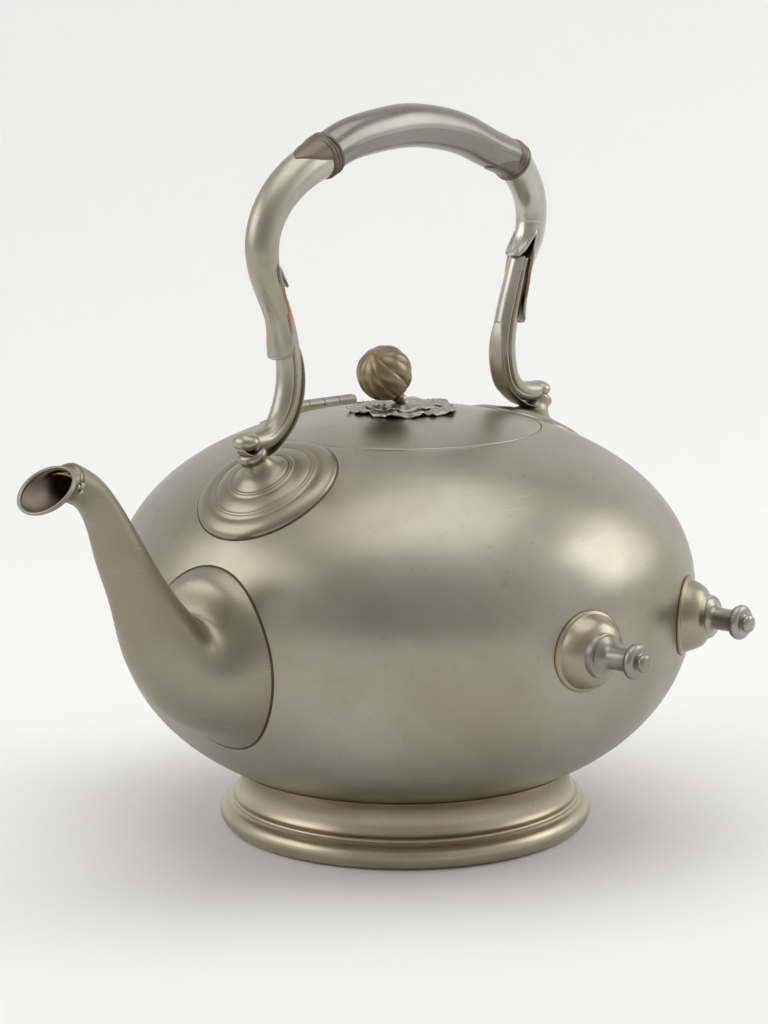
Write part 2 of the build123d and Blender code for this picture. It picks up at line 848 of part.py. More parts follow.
with BuildPart() as finial_nut:
    with BuildSketch(Plane.XY.offset(lid_top - sheet - nut_height)):
        RegularPolygon(nut_radius, 6)
        Circle(stem_radius + seat_play, mode=Mode.SUBTRACT)
    extrude(amount=nut_height)
    add(vessel_inside, mode=Mode.INTERSECT)
keep(finial_nut, "finial_nut")
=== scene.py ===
import json
import math
import random

import bmesh
import bpy
import numpy as np
from mathutils import Matrix, Vector


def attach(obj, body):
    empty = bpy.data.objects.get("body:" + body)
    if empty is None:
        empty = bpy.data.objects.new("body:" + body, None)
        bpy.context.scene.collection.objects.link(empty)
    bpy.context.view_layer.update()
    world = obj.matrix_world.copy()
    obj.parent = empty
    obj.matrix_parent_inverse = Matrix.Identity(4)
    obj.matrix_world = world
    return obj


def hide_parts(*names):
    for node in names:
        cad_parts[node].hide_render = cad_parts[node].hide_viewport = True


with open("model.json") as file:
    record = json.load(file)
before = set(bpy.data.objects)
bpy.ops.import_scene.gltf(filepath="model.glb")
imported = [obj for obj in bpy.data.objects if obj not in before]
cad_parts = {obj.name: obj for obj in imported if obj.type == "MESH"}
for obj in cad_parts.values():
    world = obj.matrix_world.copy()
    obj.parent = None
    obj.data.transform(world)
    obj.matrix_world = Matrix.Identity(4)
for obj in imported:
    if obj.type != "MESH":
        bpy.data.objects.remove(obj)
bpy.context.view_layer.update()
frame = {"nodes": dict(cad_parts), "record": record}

# All shapes are written in millimetres and turned into metres when a mesh is made
MM = 0.001

# Vessel, the same two superellipse halves as the frame's
VESSEL_R = 130.0
WIDEST_Z = 107.0
CROWN_H = 80.6
CROWN_P = 2.13
BELLY_D = 92.1
BELLY_P = 2.28
SHEET = 1.5  # wall of the vessel and the lid
LID_R = 61.0
SEAM = 0.35  # gap round the lid

FAR = np.array((0.0, 1.0, 0.0))  # from the near side toward the far side
UP = np.array((0.0, 0.0, 1.0))
TURNS = range(0, 360, 3)  # degrees round every handle, arm and lip section


def unit(v):
    return v / np.linalg.norm(v)


def vessel_value(point):
    """Below zero inside the vessel's outer surface, above zero outside."""
    r = math.hypot(point[0], point[1])
    z = point[2] - WIDEST_Z
    if z > 0:
        return (r / VESSEL_R) ** CROWN_P + (z / CROWN_H) ** CROWN_P - 1
    return (r / VESSEL_R) ** BELLY_P + (-z / BELLY_D) ** BELLY_P - 1


def vessel_normal(point):
    r = max(math.hypot(point[0], point[1]), 1e-6)
    z = point[2] - WIDEST_Z
    h, p = (CROWN_H, CROWN_P) if z > 0 else (BELLY_D, BELLY_P)
    out = (r / VESSEL_R) ** (p - 1) / VESSEL_R
    up = math.copysign((abs(z) / h) ** (p - 1) / h, z)
    return unit(np.array((out * point[0] / r, out * point[1] / r, up)))


def vessel_z(r):
    share = max(0.0, 1 - (abs(r) / VESSEL_R) ** CROWN_P)
    return WIDEST_Z + CROWN_H * share ** (1 / CROWN_P)


def onto_vessel(point, direction):
    """The place where a line through point meets the vessel."""
    lo, hi = -40.0, 40.0
    point = np.array(point, float)
    for _ in range(40):
        mid = (lo + hi) / 2
        if vessel_value(point + direction * mid) > 0:
            hi = mid
        else:
            lo = mid
    return point + direction * (lo + hi) / 2


def smooth(a, b, x):
    t = min(1.0, max(0.0, (x - a) / (b - a)))
    return t * t * (3 - 2 * t)


def natural_spline(points, count):
    """Even samples of a natural cubic spline through points of any dimension."""
    pts = np.array(points, float)
    steps = np.linalg.norm(np.diff(pts[:, :3], axis=0), axis=1)
    t = np.concatenate(([0], np.cumsum(steps)))
    n = len(pts)
    h = np.diff(t)
    a = np.zeros((n, n))
    b = np.zeros((n, pts.shape[1]))
    a[0, 0] = a[-1, -1] = 1
    for i in range(1, n - 1):
        a[i, i - 1], a[i, i], a[i, i + 1] = h[i - 1], 2 * (h[i - 1] + h[i]), h[i]
        b[i] = 6 * ((pts[i + 1] - pts[i]) / h[i] - (pts[i] - pts[i - 1]) / h[i - 1])
    m = np.linalg.solve(a, b)
    out = []
    for s in np.linspace(0, t[-1], count):
        i = min(n - 2, int(np.searchsorted(t, s, side="right")) - 1)
        i = max(i, 0)
        u, w = t[i + 1] - s, s - t[i]
        out.append(
            m[i] * u**3 / (6 * h[i]) + m[i + 1] * w**3 / (6 * h[i])
            + (pts[i] / h[i] - m[i] * h[i] / 6) * u + (pts[i + 1] / h[i] - m[i + 1] * h[i] / 6) * w
        )
    return np.array(out)


def polyline(points, step):
    """A run of points resampled so that no stretch is longer than step."""
    out = [np.array(points[0], float)]
    for a, b in zip(points[:-1], points[1:]):
        a, b = np.array(a, float), np.array(b, float)
        n = max(1, int(math.ceil(np.linalg.norm(b - a) / step)))
        out += [a + (b - a) * k / n for k in range(1, n + 1)]
    return out


def arc(cx, cy, rx, ry, a0, a1, n):
    return [
        (cx + rx * math.cos(math.radians(a0 + (a1 - a0) * k / n)),
         cy + ry * math.sin(math.radians(a0 + (a1 - a0) * k / n)))
        for k in range(n + 1)
    ]


def ring_of(middle, side, other, count):
    """Points of an oval round a middle, from its two half axes."""
    return [middle + side * math.cos(a) + other * math.sin(a)
            for a in np.linspace(0, 2 * math.pi, count, endpoint=False)]


def grid_faces(rows, cols, wrap_rows=False):
    """Faces between rings of equally many points."""
    faces = []
    for i in range(rows if wrap_rows else rows - 1):
        for j in range(cols):
            a, b = i * cols + j, i * cols + (j + 1) % cols
            c, d = ((i + 1) % rows) * cols + (j + 1) % cols, ((i + 1) % rows) * cols + j
            faces.append((a, b, c, d))
    return faces


def make(name, verts, faces, body, material, nodes=(), sharp=None):
    """A piece of the object from points in millimetres."""
    mesh = bpy.data.meshes.new(name)
    mesh.from_pydata([tuple(float(c) * MM for c in v) for v in verts], [], faces)
    mesh.validate()
    obj = bpy.data.objects.new(name, mesh)
    bpy.context.scene.collection.objects.link(obj)
    bm_clean(mesh)
    for p in mesh.polygons:
        p.use_smooth = True
    if sharp:
        mesh.set_sharp_from_angle(angle=math.radians(sharp))
    mesh.materials.append(material)
    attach(obj, body)
    if nodes:
        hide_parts(*nodes)


def bm_clean(mesh):
    """Joins points that coincide and turns every face outward."""
    bm = bmesh.new()
    bm.from_mesh(mesh)
    bmesh.ops.remove_doubles(bm, verts=bm.verts, dist=1e-6)
    bmesh.ops.recalc_face_normals(bm, faces=bm.faces)
    bm.to_mesh(mesh)
    bm.free()


def turned(profile, origin=(0, 0, 0), along=(0, 0, 1), count=96):
    """Points and faces of a closed profile of (radius, height) turned round a line."""
    along = unit(np.array(along, float))
    side = unit(np.cross(along, FAR if abs(along[1]) < 0.9 else (1.0, 0.0, 0.0)))
    other = np.cross(along, side)
    origin = np.array(origin, float)
    verts = []
    for r, h in profile:
        verts += ring_of(origin + along * h, side * r, other * r, count)
    return verts, grid_faces(len(profile), count)


def swept(rings, cap_start=True, cap_end=True):
    """Points and faces of a tube through rings of points."""
    verts = [p for ring in rings for p in ring]
    count = len(rings[0])
    faces = grid_faces(len(rings), count)
    if cap_start:
        verts.append(np.mean(rings[0], axis=0))
        c = len(verts) - 1
        faces += [(c, (j + 1) % count, j) for j in range(count)]
    if cap_end:
        verts.append(np.mean(rings[-1], axis=0))
        c = len(verts) - 1
        base = (len(rings) - 1) * count
        faces += [(c, base + j, base + (j + 1) % count) for j in range(count)]
    return verts, faces


def looped(rings):
    """Points and faces of a tube whose last ring joins its first."""
    return [p for ring in rings for p in ring], grid_faces(len(rings), len(rings[0]), wrap_rows=True)


def joined(*parts):
    """Several pairs of points and faces as one pair."""
    verts, faces = [], []
    for v, f in parts:
        base = len(verts)
        verts += list(v)
        faces += [tuple(i + base for i in face) for face in f]
    return verts, faces


# Materials
def node(tree, kind, **values):
    n = tree.nodes.new(kind)
    for key, value in values.items():
        setattr(n, key, value)
    return n


def metal(name, light, dark, patina, rough=0.3, patina_share=0.5, scratch=0.5, edge=0.5,
          edge_color=(0.5, 0.3, 0.17), bump=0.12, seed=0.0):
    """Worn plated metal: two greys in clouds, a brown patina, fine scratches and bare edges."""
    mat = bpy.data.materials.new(name)
    mat.use_nodes = True
    t = mat.node_tree
    t.nodes.clear()
    out = node(t, "ShaderNodeOutputMaterial")
    shade = node(t, "ShaderNodeBsdfPrincipled")
    shade.inputs["Metallic"].default_value = 1.0
    t.links.new(shade.outputs["BSDF"], out.inputs["Surface"])
    coord = node(t, "ShaderNodeTexCoord")
    place = node(t, "ShaderNodeMapping")
    place.inputs["Location"].default_value = (seed, seed * 0.7, seed * 1.3)
    t.links.new(coord.outputs["Object"], place.inputs["Vector"])

    def noise(scale, detail=4.0, rough_in=0.55, stretch=None, turn=(0, 0, 0), distort=0.0):
        n = node(t, "ShaderNodeTexNoise")
        n.inputs["Scale"].default_value = scale
        n.inputs["Detail"].default_value = detail
        n.inputs["Roughness"].default_value = rough_in
        n.inputs["Distortion"].default_value = distort
        if stretch:
            m = node(t, "ShaderNodeMapping")
            m.inputs["Scale"].default_value = stretch
            m.inputs["Rotation"].default_value = turn
            t.links.new(place.outputs["Vector"], m.inputs["Vector"])
            t.links.new(m.outputs["Vector"], n.inputs["Vector"])
        else:
            t.links.new(place.outputs["Vector"], n.inputs["Vector"])
        return n.outputs["Fac"]

    def remap(value, lo, hi, a=0.0, b=1.0):
        m = node(t, "ShaderNodeMapRange")
        m.inputs["From Min"].default_value = lo
        m.inputs["From Max"].default_value = hi
        m.inputs["To Min"].default_value = a
        m.inputs["To Max"].default_value = b
        t.links.new(value, m.inputs["Value"])
        return m.outputs["Result"]

    def mix(fac, a, b):
        m = node(t, "ShaderNodeMix", data_type="RGBA")
        t.links.new(fac, m.inputs[0])
        for value, socket in ((a, m.inputs[6]), (b, m.inputs[7])):
            if isinstance(value, tuple):
                socket.default_value = (*value, 1.0)
            else:
                t.links.new(value, socket)
        return m.outputs[2]

    def math_node(op, a, b):
        m = node(t, "ShaderNodeMath", operation=op)
        for value, socket in ((a, m.inputs[0]), (b, m.inputs[1])):
            if isinstance(value, (int, float)):
                socket.default_value = value
            else:
                t.links.new(value, socket)
        return m.outputs[0]

    clouds = remap(noise(9.0, 5.0, 0.6, distort=0.4), 0.35, 0.68)
    color = mix(clouds, light, dark)
    stain = remap(noise(5.0, 6.0, 0.62, distort=0.8), 0.45, 0.68, 0.0, patina_share)
    color = mix(stain, color, patina)
    speck = remap(noise(260.0, 3.0, 0.6), 0.62, 0.74, 0.0, 0.35)
    color = mix(speck, color, patina)
    # Fine scratches in four directions, only where a broad cloud lets them through
    lines = []
    for turn in ((0.3, 0.2, 0.5), (1.1, 0.7, 2.0), (2.2, 1.4, 0.9), (0.9, 2.4, 1.5)):
        fine = noise(60.0, 1.0, 0.4, stretch=(1.0, 1.0, 14.0), turn=turn, distort=0.15)
        lines.append(remap(fine, 0.735, 0.77))
    gate = remap(noise(13.0, 2.0, 0.5), 0.52, 0.64)
    several = math_node("MAXIMUM", math_node("MAXIMUM", lines[0], lines[1]),
                        math_node("MAXIMUM", lines[2], lines[3]))
    marks = math_node("MULTIPLY", several, gate)
    marks = math_node("MULTIPLY", marks, scratch)
    color = mix(marks, color, tuple(min(1.0, c * 1.3) for c in light))
    # Worn edges, where a rounded normal differs from the true one
    bevel = node(t, "ShaderNodeBevel")
    bevel.samples = 6
    bevel.inputs["Radius"].default_value = 0.0009
    geometry = node(t, "ShaderNodeNewGeometry")
    dot = node(t, "ShaderNodeVectorMath", operation="DOT_PRODUCT")
    t.links.new(bevel.outputs["Normal"], dot.inputs[0])
    t.links.new(geometry.outputs["Normal"], dot.inputs[1])
    rub = remap(dot.outputs["Value"], 0.985, 0.9)
    rub = math_node("MULTIPLY", rub, remap(noise(30.0, 3.0, 0.6), 0.42, 0.56, 0.0, edge))
    color = mix(rub, color, edge_color)
    t.links.new(color, shade.inputs["Base Color"])
    satin = remap(noise(22.0, 4.0, 0.6), 0.3, 0.75, rough - 0.04, rough + 0.1)
    satin = math_node("ADD", satin, math_node("MULTIPLY", stain, 0.12))
    satin = math_node("ADD", satin, math_node("MULTIPLY", marks, -0.08))
    t.links.new(satin, shade.inputs["Roughness"])
    height = math_node("ADD", noise(45.0, 3.0, 0.5), math_node("MULTIPLY", marks, -0.25))
    hump = node(t, "ShaderNodeBump")
    hump.inputs["Strength"].default_value = bump
    hump.inputs["Distance"].default_value = 0.0004
    t.links.new(height, hump.inputs["Height"])
    t.links.new(hump.outputs["Normal"], shade.inputs["Normal"])
    return mat


GREY = (0.39, 0.37, 0.305)
GREY_DARK = (0.3, 0.277, 0.205)
OLIVE = (0.27, 0.235, 0.142)
BROWN = (0.15, 0.118, 0.08)
plate = metal("plate", GREY, GREY_DARK, OLIVE, rough=0.33, patina_share=0.55, scratch=0.2, edge=0.1)
lid_plate = metal("lid_plate", GREY, GREY_DARK, OLIVE, rough=0.3, patina_share=0.3, scratch=0.25, edge=0.5)
spout_plate = metal("spout_plate", (0.36, 0.343, 0.288), (0.27, 0.25, 0.195), OLIVE, rough=0.33,
                    patina_share=0.5, scratch=0.3, edge=0.3, seed=3.0)
# The handle's metal is a lighter copy of the plate: painted light that brightens the thin handle.
handle_plate = metal("handle_plate", (0.56, 0.545, 0.49), (0.38, 0.36, 0.295), OLIVE, rough=0.29,
                     patina_share=0.5, scratch=0.25, edge=0.35, seed=5.0)
# The grip's metal is a darker copy of the handle's: painted shade that holds down the light falling on the
# grip's top.
grip_painted_shade_plate = metal("grip_painted_shade_plate", (0.26, 0.256, 0.238), (0.19, 0.184, 0.162), OLIVE, rough=0.26,
                   patina_share=0.4, scratch=0.25, edge=0.35, seed=19.0)
base_plate = metal("base_plate", (0.36, 0.338, 0.265), (0.27, 0.246, 0.18), OLIVE, rough=0.3,
                   patina_share=0.5, scratch=0.2, edge=0.25, seed=15.0)
# The foot's metal is a lighter copy of the plate: painted light for the foot, which sits in shade.
foot_painted_light_plate = metal("foot_painted_light_plate", (0.52, 0.48, 0.37), (0.39, 0.352, 0.25), (0.29, 0.235, 0.13), rough=0.3,
                   patina_share=0.5, scratch=0.2, edge=0.35, seed=8.0)
stud_plate = metal("stud_plate", (0.4, 0.37, 0.285), (0.29, 0.262, 0.185), OLIVE, rough=0.28,
                   patina_share=0.4, edge=0.9, seed=2.0)
pin_plate = metal("pin_plate", (0.4, 0.385, 0.335), (0.24, 0.225, 0.185), (0.15, 0.128, 0.095), rough=0.3,
                  patina_share=0.6, edge=0.6, edge_color=(0.6, 0.56, 0.47), bump=0.4, seed=16.0)
bronze = metal("bronze", (0.24, 0.21, 0.17), (0.15, 0.125, 0.095), BROWN, rough=0.36, patina_share=0.6,
               scratch=0.2, edge=0.3, edge_color=(0.42, 0.38, 0.32), seed=4.0)
bud_metal = metal("bud", (0.33, 0.262, 0.165), (0.2, 0.155, 0.095), BROWN, rough=0.27, patina_share=0.6,
                  scratch=0.2, edge=0.25, edge_color=(0.5, 0.44, 0.36), seed=6.0)
leaf_metal = metal("leaf", (0.5, 0.475, 0.42), (0.33, 0.31, 0.265), (0.17, 0.15, 0.12), rough=0.4,
                   patina_share=0.6, scratch=0.2, edge=0.8, edge_color=(0.6, 0.58, 0.53), bump=0.6, seed=7.0)
bright = metal("bright", (0.55, 0.53, 0.48), (0.42, 0.4, 0.35), OLIVE, rough=0.22, patina_share=0.3, edge=0.5,
               seed=9.0)
hood_metal = metal("hood", (0.3, 0.27, 0.21), (0.2, 0.172, 0.125), BROWN, rough=0.26, patina_share=0.5,
                   edge=0.3, seed=17.0)
hinge_metal = metal("hinge", (0.4, 0.39, 0.355), (0.29, 0.28, 0.24), OLIVE, rough=0.34,
                    patina_share=0.4, seed=10.0)
inner = metal("inner", (0.28, 0.23, 0.155), (0.18, 0.14, 0.09), BROWN, rough=0.5, patina_share=0.7, seed=12.0)
throat = metal("throat", (0.26, 0.225, 0.185), (0.16, 0.128, 0.096), (0.09, 0.066, 0.045), rough=0.42,
               patina_share=0.6, seed=18.0)
# Dark metal of the solder seams and joints, also used as painted shade in the gap round the lid.
seam_and_gap_shade_metal = metal("seam", (0.13, 0.096, 0.065), (0.08, 0.058, 0.04), (0.045, 0.034, 0.024), rough=0.55,
                   patina_share=0.8, scratch=0.0, edge=0.4, seed=13.0)
copper = metal("copper", (0.42, 0.27, 0.17), (0.26, 0.155, 0.09), BROWN, rough=0.38,
               patina_share=0.7, seed=14.0)

# Material of each node that stays as the frame has it
SLOT_LOOK = {
    "plate": plate, "handle_plate": handle_plate, "bronze": bronze, "bright_trim": bright,
    "leaf_plate": leaf_metal, "stud_plate": stud_plate, "hinge_plate": hinge_metal, "inner_metal": inner,
}
for entry in frame["record"]["subparts"]:
    piece = frame["nodes"][entry["node"]]
    piece.data.materials.clear()
    piece.data.materials.append(SLOT_LOOK[entry["material_slot"]])
    for p in piece.data.polygons:
        p.use_smooth = True
    piece.data.set_sharp_from_angle(angle=math.radians(35))


# Vessel shell: outside from the mouth down to the pole, then the inside back up
def meridian(inset, from_r, steps):
    """The vessel's outline from a radius on the crown down to the lower pole."""
    R, top, low = VESSEL_R - inset, CROWN_H - inset, BELLY_D - inset
    start = math.acos(min(1.0, (from_r / R) ** (CROWN_P / 2)))
    run = []
    for k in range(steps + 1):
        a = start * (1 - k / steps)
        run.append((R * math.cos(a) ** (2 / CROWN_P), WIDEST_Z + top * math.sin(a) ** (2 / CROWN_P)))
    for k in range(1, steps + 1):
        a = math.pi / 2 * k / steps
        run.append((R * max(math.cos(a), 0) ** (2 / BELLY_P), WIDEST_Z - low * math.sin(a) ** (2 / BELLY_P)))
    run[-1] = (0.0, WIDEST_Z - low)
    return run


mouth_r = LID_R + SEAM
edge_z = vessel_z(mouth_r)
outside = meridian(0, mouth_r + 0.25, 64)
inside = meridian(SHEET, mouth_r, 40)[::-1]
rim = [(mouth_r, edge_z - SHEET * 0.9), (mouth_r, edge_z - 0.25), (mouth_r + 0.08, edge_z - 0.08)]
verts, faces = turned(inside + rim + outside, count=256)
make("shell", verts, faces, "kettle", plate, ["body_crown", "body_belly"], sharp=40)

# Foot ring
foot = (
    [(73.7, 5.2), (73.7, 0.6), (74.3, 0.0), (78.9, 0.0)]
    + arc(78.9, 5.2, 5.2, 5.2, -84, 78, 20)
    + [(79.6, 10.6), (79.2, 10.95)]
    + arc(77.5, 11.85, 1.55, 1.2, -30, 75, 8)
    + [(77.0, 13.15)]
    + [(76.3, 13.9), (75.5, 15.4), (74.85, 17.6), (74.6, 20.2), (74.9, 22.8), (75.7, 25.0), (76.7, 26.6),
       (77.4, 27.5), (78.0, 28.2), (78.1, 29.2), (77.6, 30.4), (76.0, 33.0)]
    + [(74.0, 33.0), (75.4, 27.5), (73.3, 20.2), (73.7, 11.0)]
)
verts, faces = turned(foot + [foot[0]], count=256)
make("foot", verts, faces, "kettle", foot_painted_light_plate, ["foot_ring"], sharp=50)
joint_z = 28.6
verts, faces = turned([(77.9 + x, joint_z + y) for x, y in arc(0, 0, 0.55, 0.45, 0, 360, 8)], count=256)
make("foot_joint", verts, faces, "kettle", seam_and_gap_shade_metal)

# Spout, as sections of reach, height, climb in degrees, half depth and half width
SPOUT_WALL = 1.3
SPOUT_LINES = 96
SPOUT_RINGS = 90
ROOT_SINK = 0.4
SPOUT = (
    (106.0, 95.5, -8.0, 42.0, 38.0),
    (119.5, 96.5, -6.0, 39.7, 36.0),
    (130.0, 97.3, -3.5, 32.8, 32.0),
    (141.3, 98.0, 14.6, 22.7, 24.5),
    (155.0, 110.5, 46.0, 16.6, 17.5),
    (167.7, 133.3, 61.5, 12.2, 12.2),
    (177.7, 152.2, 62.5, 10.1, 10.1),
    (186.6, 169.4, 56.0, 7.9, 7.9),
    (194.6, 178.6, 38.0, 7.5, 7.5),
    (203.0, 183.2, 24.0, 7.9, 7.9),
)


def spout_ring(section, inset):
    reach, height, climb, deep, wide = section
    climb = math.radians(climb)
    up = np.array((math.sin(climb), 0.0, math.cos(climb)))
    return ring_of(np.array((-reach, 0.0, height)), FAR * (wide - inset), up * (deep - inset), SPOUT_LINES)


sections = natural_spline([(a, 0.0, b, c, d, e) for a, b, c, d, e in SPOUT], SPOUT_RINGS)
sections = [(s[0], s[2], s[3], s[4], s[5]) for s in sections]
outer = [spout_ring(s, 0.0) for s in sections]
within = [spout_ring(s, SPOUT_WALL) for s in sections]
# Where each outer line leaves the vessel, as a place along it and as a point
crossing = []
for j in range(SPOUT_LINES):
    values = [vessel_value(ring[j]) for ring in outer]
    i = max(k for k in range(len(outer) - 1) if values[k] <= 0 < values[k + 1])
    share = -values[i] / (values[i + 1] - values[i])
    crossing.append((i + share, outer[i][j] + (outer[i + 1][j] - outer[i][j]) * share))
path = np.array([p for t, p in crossing])
starts = np.array([t for t, p in crossing])
for _ in range(5):
    path = (np.roll(path, 1, 0) + 2 * path + np.roll(path, -1, 0)) / 4
    starts = (np.roll(starts, 1) + 2 * starts + np.roll(starts, -1)) / 4
path = [onto_vessel(p, vessel_normal(p)) for p in path]


def resampled(lines):
    """Rings of a tube whose lines start inside the vessel's wall, so the wall itself cuts the joint."""
    last = len(lines) - 1
    rings = []
    for w in np.linspace(0, 1, SPOUT_RINGS):
        ring = []
        for j, start in enumerate(starts - ROOT_SINK):
            t = start + (last - start) * w
            i = min(int(t), last - 1)
            ring.append(lines[i][j] + (lines[i + 1][j] - lines[i][j]) * (t - i))
        rings.append(ring)
    return rings


verts, faces = swept(resampled(within)[::-1] + resampled(outer), False, False)
make("spout", verts, faces, "kettle", spout_plate, ["spout_tube"])

# Seam of solder round the spout's root
rings = []
for k in range(SPOUT_LINES):
    tangent = unit(path[(k + 1) % SPOUT_LINES] - path[k - 1])
    n = vessel_normal(path[k])
    rings.append(ring_of(path[k], n * 0.5, np.cross(tangent, n) * 0.75, 8))
verts, faces = looped(rings)
make("spout_seam", verts, faces, "kettle", seam_and_gap_shade_metal)


def wire(points, radius, count=8, closed=False, taper=0.0):
    """A thin round line through points, thinner towards its ends where it tapers."""
    points = [np.array(p, float) for p in points]
    total = len(points)
    rings = []
    lean = UP
    for k, p in enumerate(points):
        before = points[k - 1] if (k or closed) else p
        after = points[(k + 1) % total] if (k + 1 < total or closed) else p
        t = unit(after - before)
        lean = lean - t * np.dot(lean, t)
        if np.linalg.norm(lean) < 1e-6:
            lean = np.cross(t, FAR)
        lean = unit(lean)
        share = k / max(1, total - 1)
        r = radius * (1 - taper * abs(2 * share - 1) ** 3)
        rings.append(ring_of(p, lean * r, np.cross(t, lean) * r, count))
    return looped(rings) if closed else swept(rings)


# Lip, a flared open end whose tilted oval rim falls forward
climb = math.radians(SPOUT[-1][2])
spout_ahead = np.array((-math.cos(climb), 0.0, math.sin(climb)))
spout_up = np.array((math.sin(climb), 0.0, math.cos(climb)))
near = np.array((0.0, -1.0, 0.0))
spout_tip = np.array((-SPOUT[-1][0], 0.0, SPOUT[-1][1]))
RIM_MIDDLE = np.array((-215.4, 0.0, 181.9))
RIM_FALL = math.radians(42.0)
RIM_LONG, RIM_BROAD = 12.2, 13.2
LIP_RINGS = 25
rim_down = np.array((-math.cos(RIM_FALL), 0.0, -math.sin(RIM_FALL)))
rim_face = np.array((-math.sin(RIM_FALL), 0.0, math.cos(RIM_FALL)))


def lip_row(turn, inset):
    """One line of the lip from the tube's end to the rim; turn 0 is the bottom."""
    a = math.radians(turn)
    start = spout_tip + (-spout_up * math.cos(a) + near * math.sin(a)) * (SPOUT[-1][3] - inset)
    reach = rim_down * RIM_LONG * math.cos(a) + near * RIM_BROAD * math.sin(a)
    end = RIM_MIDDLE + reach * (1 - inset / np.linalg.norm(reach) * 0.8)
    span = np.linalg.norm(end - start)
    arrive = unit(unit(reach) * 0.75 + rim_face * 0.66)
    sag = spout_up * -0.12 * span * max(0.0, math.cos(a))
    b1, b2 = start + spout_ahead * span * 0.34 + sag, end - arrive * span * 0.36 + sag
    return [start * (1 - w) ** 3 + b1 * 3 * w * (1 - w) ** 2 + b2 * 3 * w * w * (1 - w) + end * w**3
            for w in np.linspace(0, 1, LIP_RINGS)]


def lip_rings(inset):
    rows = [lip_row(turn, inset) for turn in TURNS]
    return [[row[i] for row in rows] for i in range(LIP_RINGS)]


rings, hollow = lip_rings(0.0), lip_rings(SPOUT_WALL)
rim_path = [(a + b) / 2 for a, b in zip(rings[-1], hollow[-1])]
# Rolled rim, thicker on the near and far side
thick = []
for k, p in enumerate(rim_path):
    t = unit(rim_path[(k + 1) % len(TURNS)] - rim_path[k - 1])
    r = 0.66 + 0.36 * math.sin(math.radians(TURNS[k])) ** 2
    thick.append(ring_of(p, rim_face * r, np.cross(t, rim_face) * r, 10))
verts, faces = joined(swept(rings, False, False), looped(thick))
make("lip", verts, faces, "kettle", spout_plate, ["spout_lip"], sharp=60)
verts, faces = swept(hollow[::-1], False, False)
make("lip_throat", verts, faces, "kettle", throat)

HOOD_SPAN = 84
HOOD_SHARES = [2 * k / 40 - 1 for k in range(41)]


def around_tip(turn, radius, ahead):
    """Point round the spout's end: turn 0 is the top, 90 the near side."""
    a = math.radians(turn)
    return spout_tip + (spout_up * math.cos(a) + near * math.sin(a)) * radius + spout_ahead * ahead


def hood_rim(u, lift, ahead):
    """Point of the hood's front edge, for u from -1 to 1 across it."""
    return (spout_tip + near * 7.6 * math.sin(math.radians(HOOD_SPAN * u))
            + spout_up * (1.9 * (1 - u * u) + lift) + spout_ahead * ahead * (1 - 0.35 * u * u))


# Hood, an eyelid over the upper half of the spout's end, with a copper edge and pearls
rings = []
for u in HOOD_SHARES:
    turn = HOOD_SPAN * u
    top, crest, low = around_tip(turn, 7.7, -0.6), around_tip(turn, 9.0, 3.0), hood_rim(u, 0.6, 4.6)
    thin = around_tip(turn, SPOUT_WALL, 0.0) - spout_tip
    row = []
    for w, depth in [(w, 0.0) for w in np.linspace(0, 1, 15)] + [(w, 1.0) for w in np.linspace(1, 0, 9)]:
        q = top * (1 - w) ** 2 + crest * 2 * w * (1 - w) + low * w * w
        row.append(q - (thin + spout_ahead * 0.9 * w) * depth)
    rings.append(row)
verts, faces = swept(rings)
make("hood", verts, faces, "kettle", hood_metal, ["spout_hood"])
verts, faces = wire([hood_rim(u, 0.35, 4.5) for u in HOOD_SHARES], 0.62, taper=0.5)
make("hood_edge", verts, faces, "kettle", copper)
drops = []
for side in (-1, 1):
    for turn, r, ahead in ((93, 1.05, 1.4), (110, 0.9, 0.6), (99, 0.7, 3.0)):
        centre = around_tip(side * turn, 8.6, ahead)
        ball = [(r * math.sin(math.pi * k / 12), -r * math.cos(math.pi * k / 12)) for k in range(13)]
        drops.append(turned(ball, centre, spout_up, 20))
verts, faces = joined(*drops)
make("pearls", verts, faces, "kettle", bright, ["spout_pearls"])

# Handle, as stations of distance outward from the base, height over the shoulder and radius
REACH = 91.0
SHOULDER = vessel_z(REACH)
FRONT_LEG = ((9.0, 18.3, 3.2), (-2.0, 19.6, 4.3), (-9.5, 25.1, 5.2), (-13.8, 32.8, 5.6), (-16.0, 44.1, 5.5),
             (-14.3, 58.3, 5.3), (-9.0, 74.1, 5.2), (-3.7, 84.6, 5.2))
FRONT_ARM = ((-0.4, 95.0, 7.0), (-0.6, 102.5, 7.2), (-5.4, 113.6, 7.6), (-13.6, 122.2, 8.0),
             (-24.4, 129.0, 8.4), (-39.0, 134.9, 8.7))
FRONT_GRIP = ((-53.8, 140.4, 9.0), (-69.5, 143.2, 9.3), (-91.0, 145.0, 9.6))
REAR_LEG = ((5.0, 17.2, 3.2), (-7.0, 19.0, 4.3), (-14.5, 24.0, 5.2), (-17.8, 31.3, 5.5), (-18.8, 42.6, 5.4),
            (-14.9, 58.9, 5.3), (-9.5, 73.0, 5.2), (-6.4, 80.3, 5.2))
REAR_ARM = ((-0.9, 89.0, 7.0), (1.5, 99.0, 7.1), (0.2, 108.3, 7.4), (-4.0, 116.0, 7.7), (-14.0, 125.9, 8.4))
REAR_GRIP = ((-29.2, 131.7, 8.8), (-46.6, 138.4, 9.1), (-63.6, 142.5, 9.4))


def placed(side, stations):
    return [(side * (REACH + out), 0.0, SHOULDER + up, r) for out, up, r in stations]


stations = placed(-1, FRONT_LEG + FRONT_ARM + FRONT_GRIP) + placed(1, REAR_LEG + REAR_ARM + REAR_GRIP)[::-1]
route = natural_spline([s[:3] for s in stations], 1500)


def share_of(side, out, up):
    """Place along the handle's line that is nearest to a station."""
    p = np.array((side * (REACH + out), 0.0, SHOULDER + up))
    return int(np.argmin(np.linalg.norm(route - p, axis=1)))


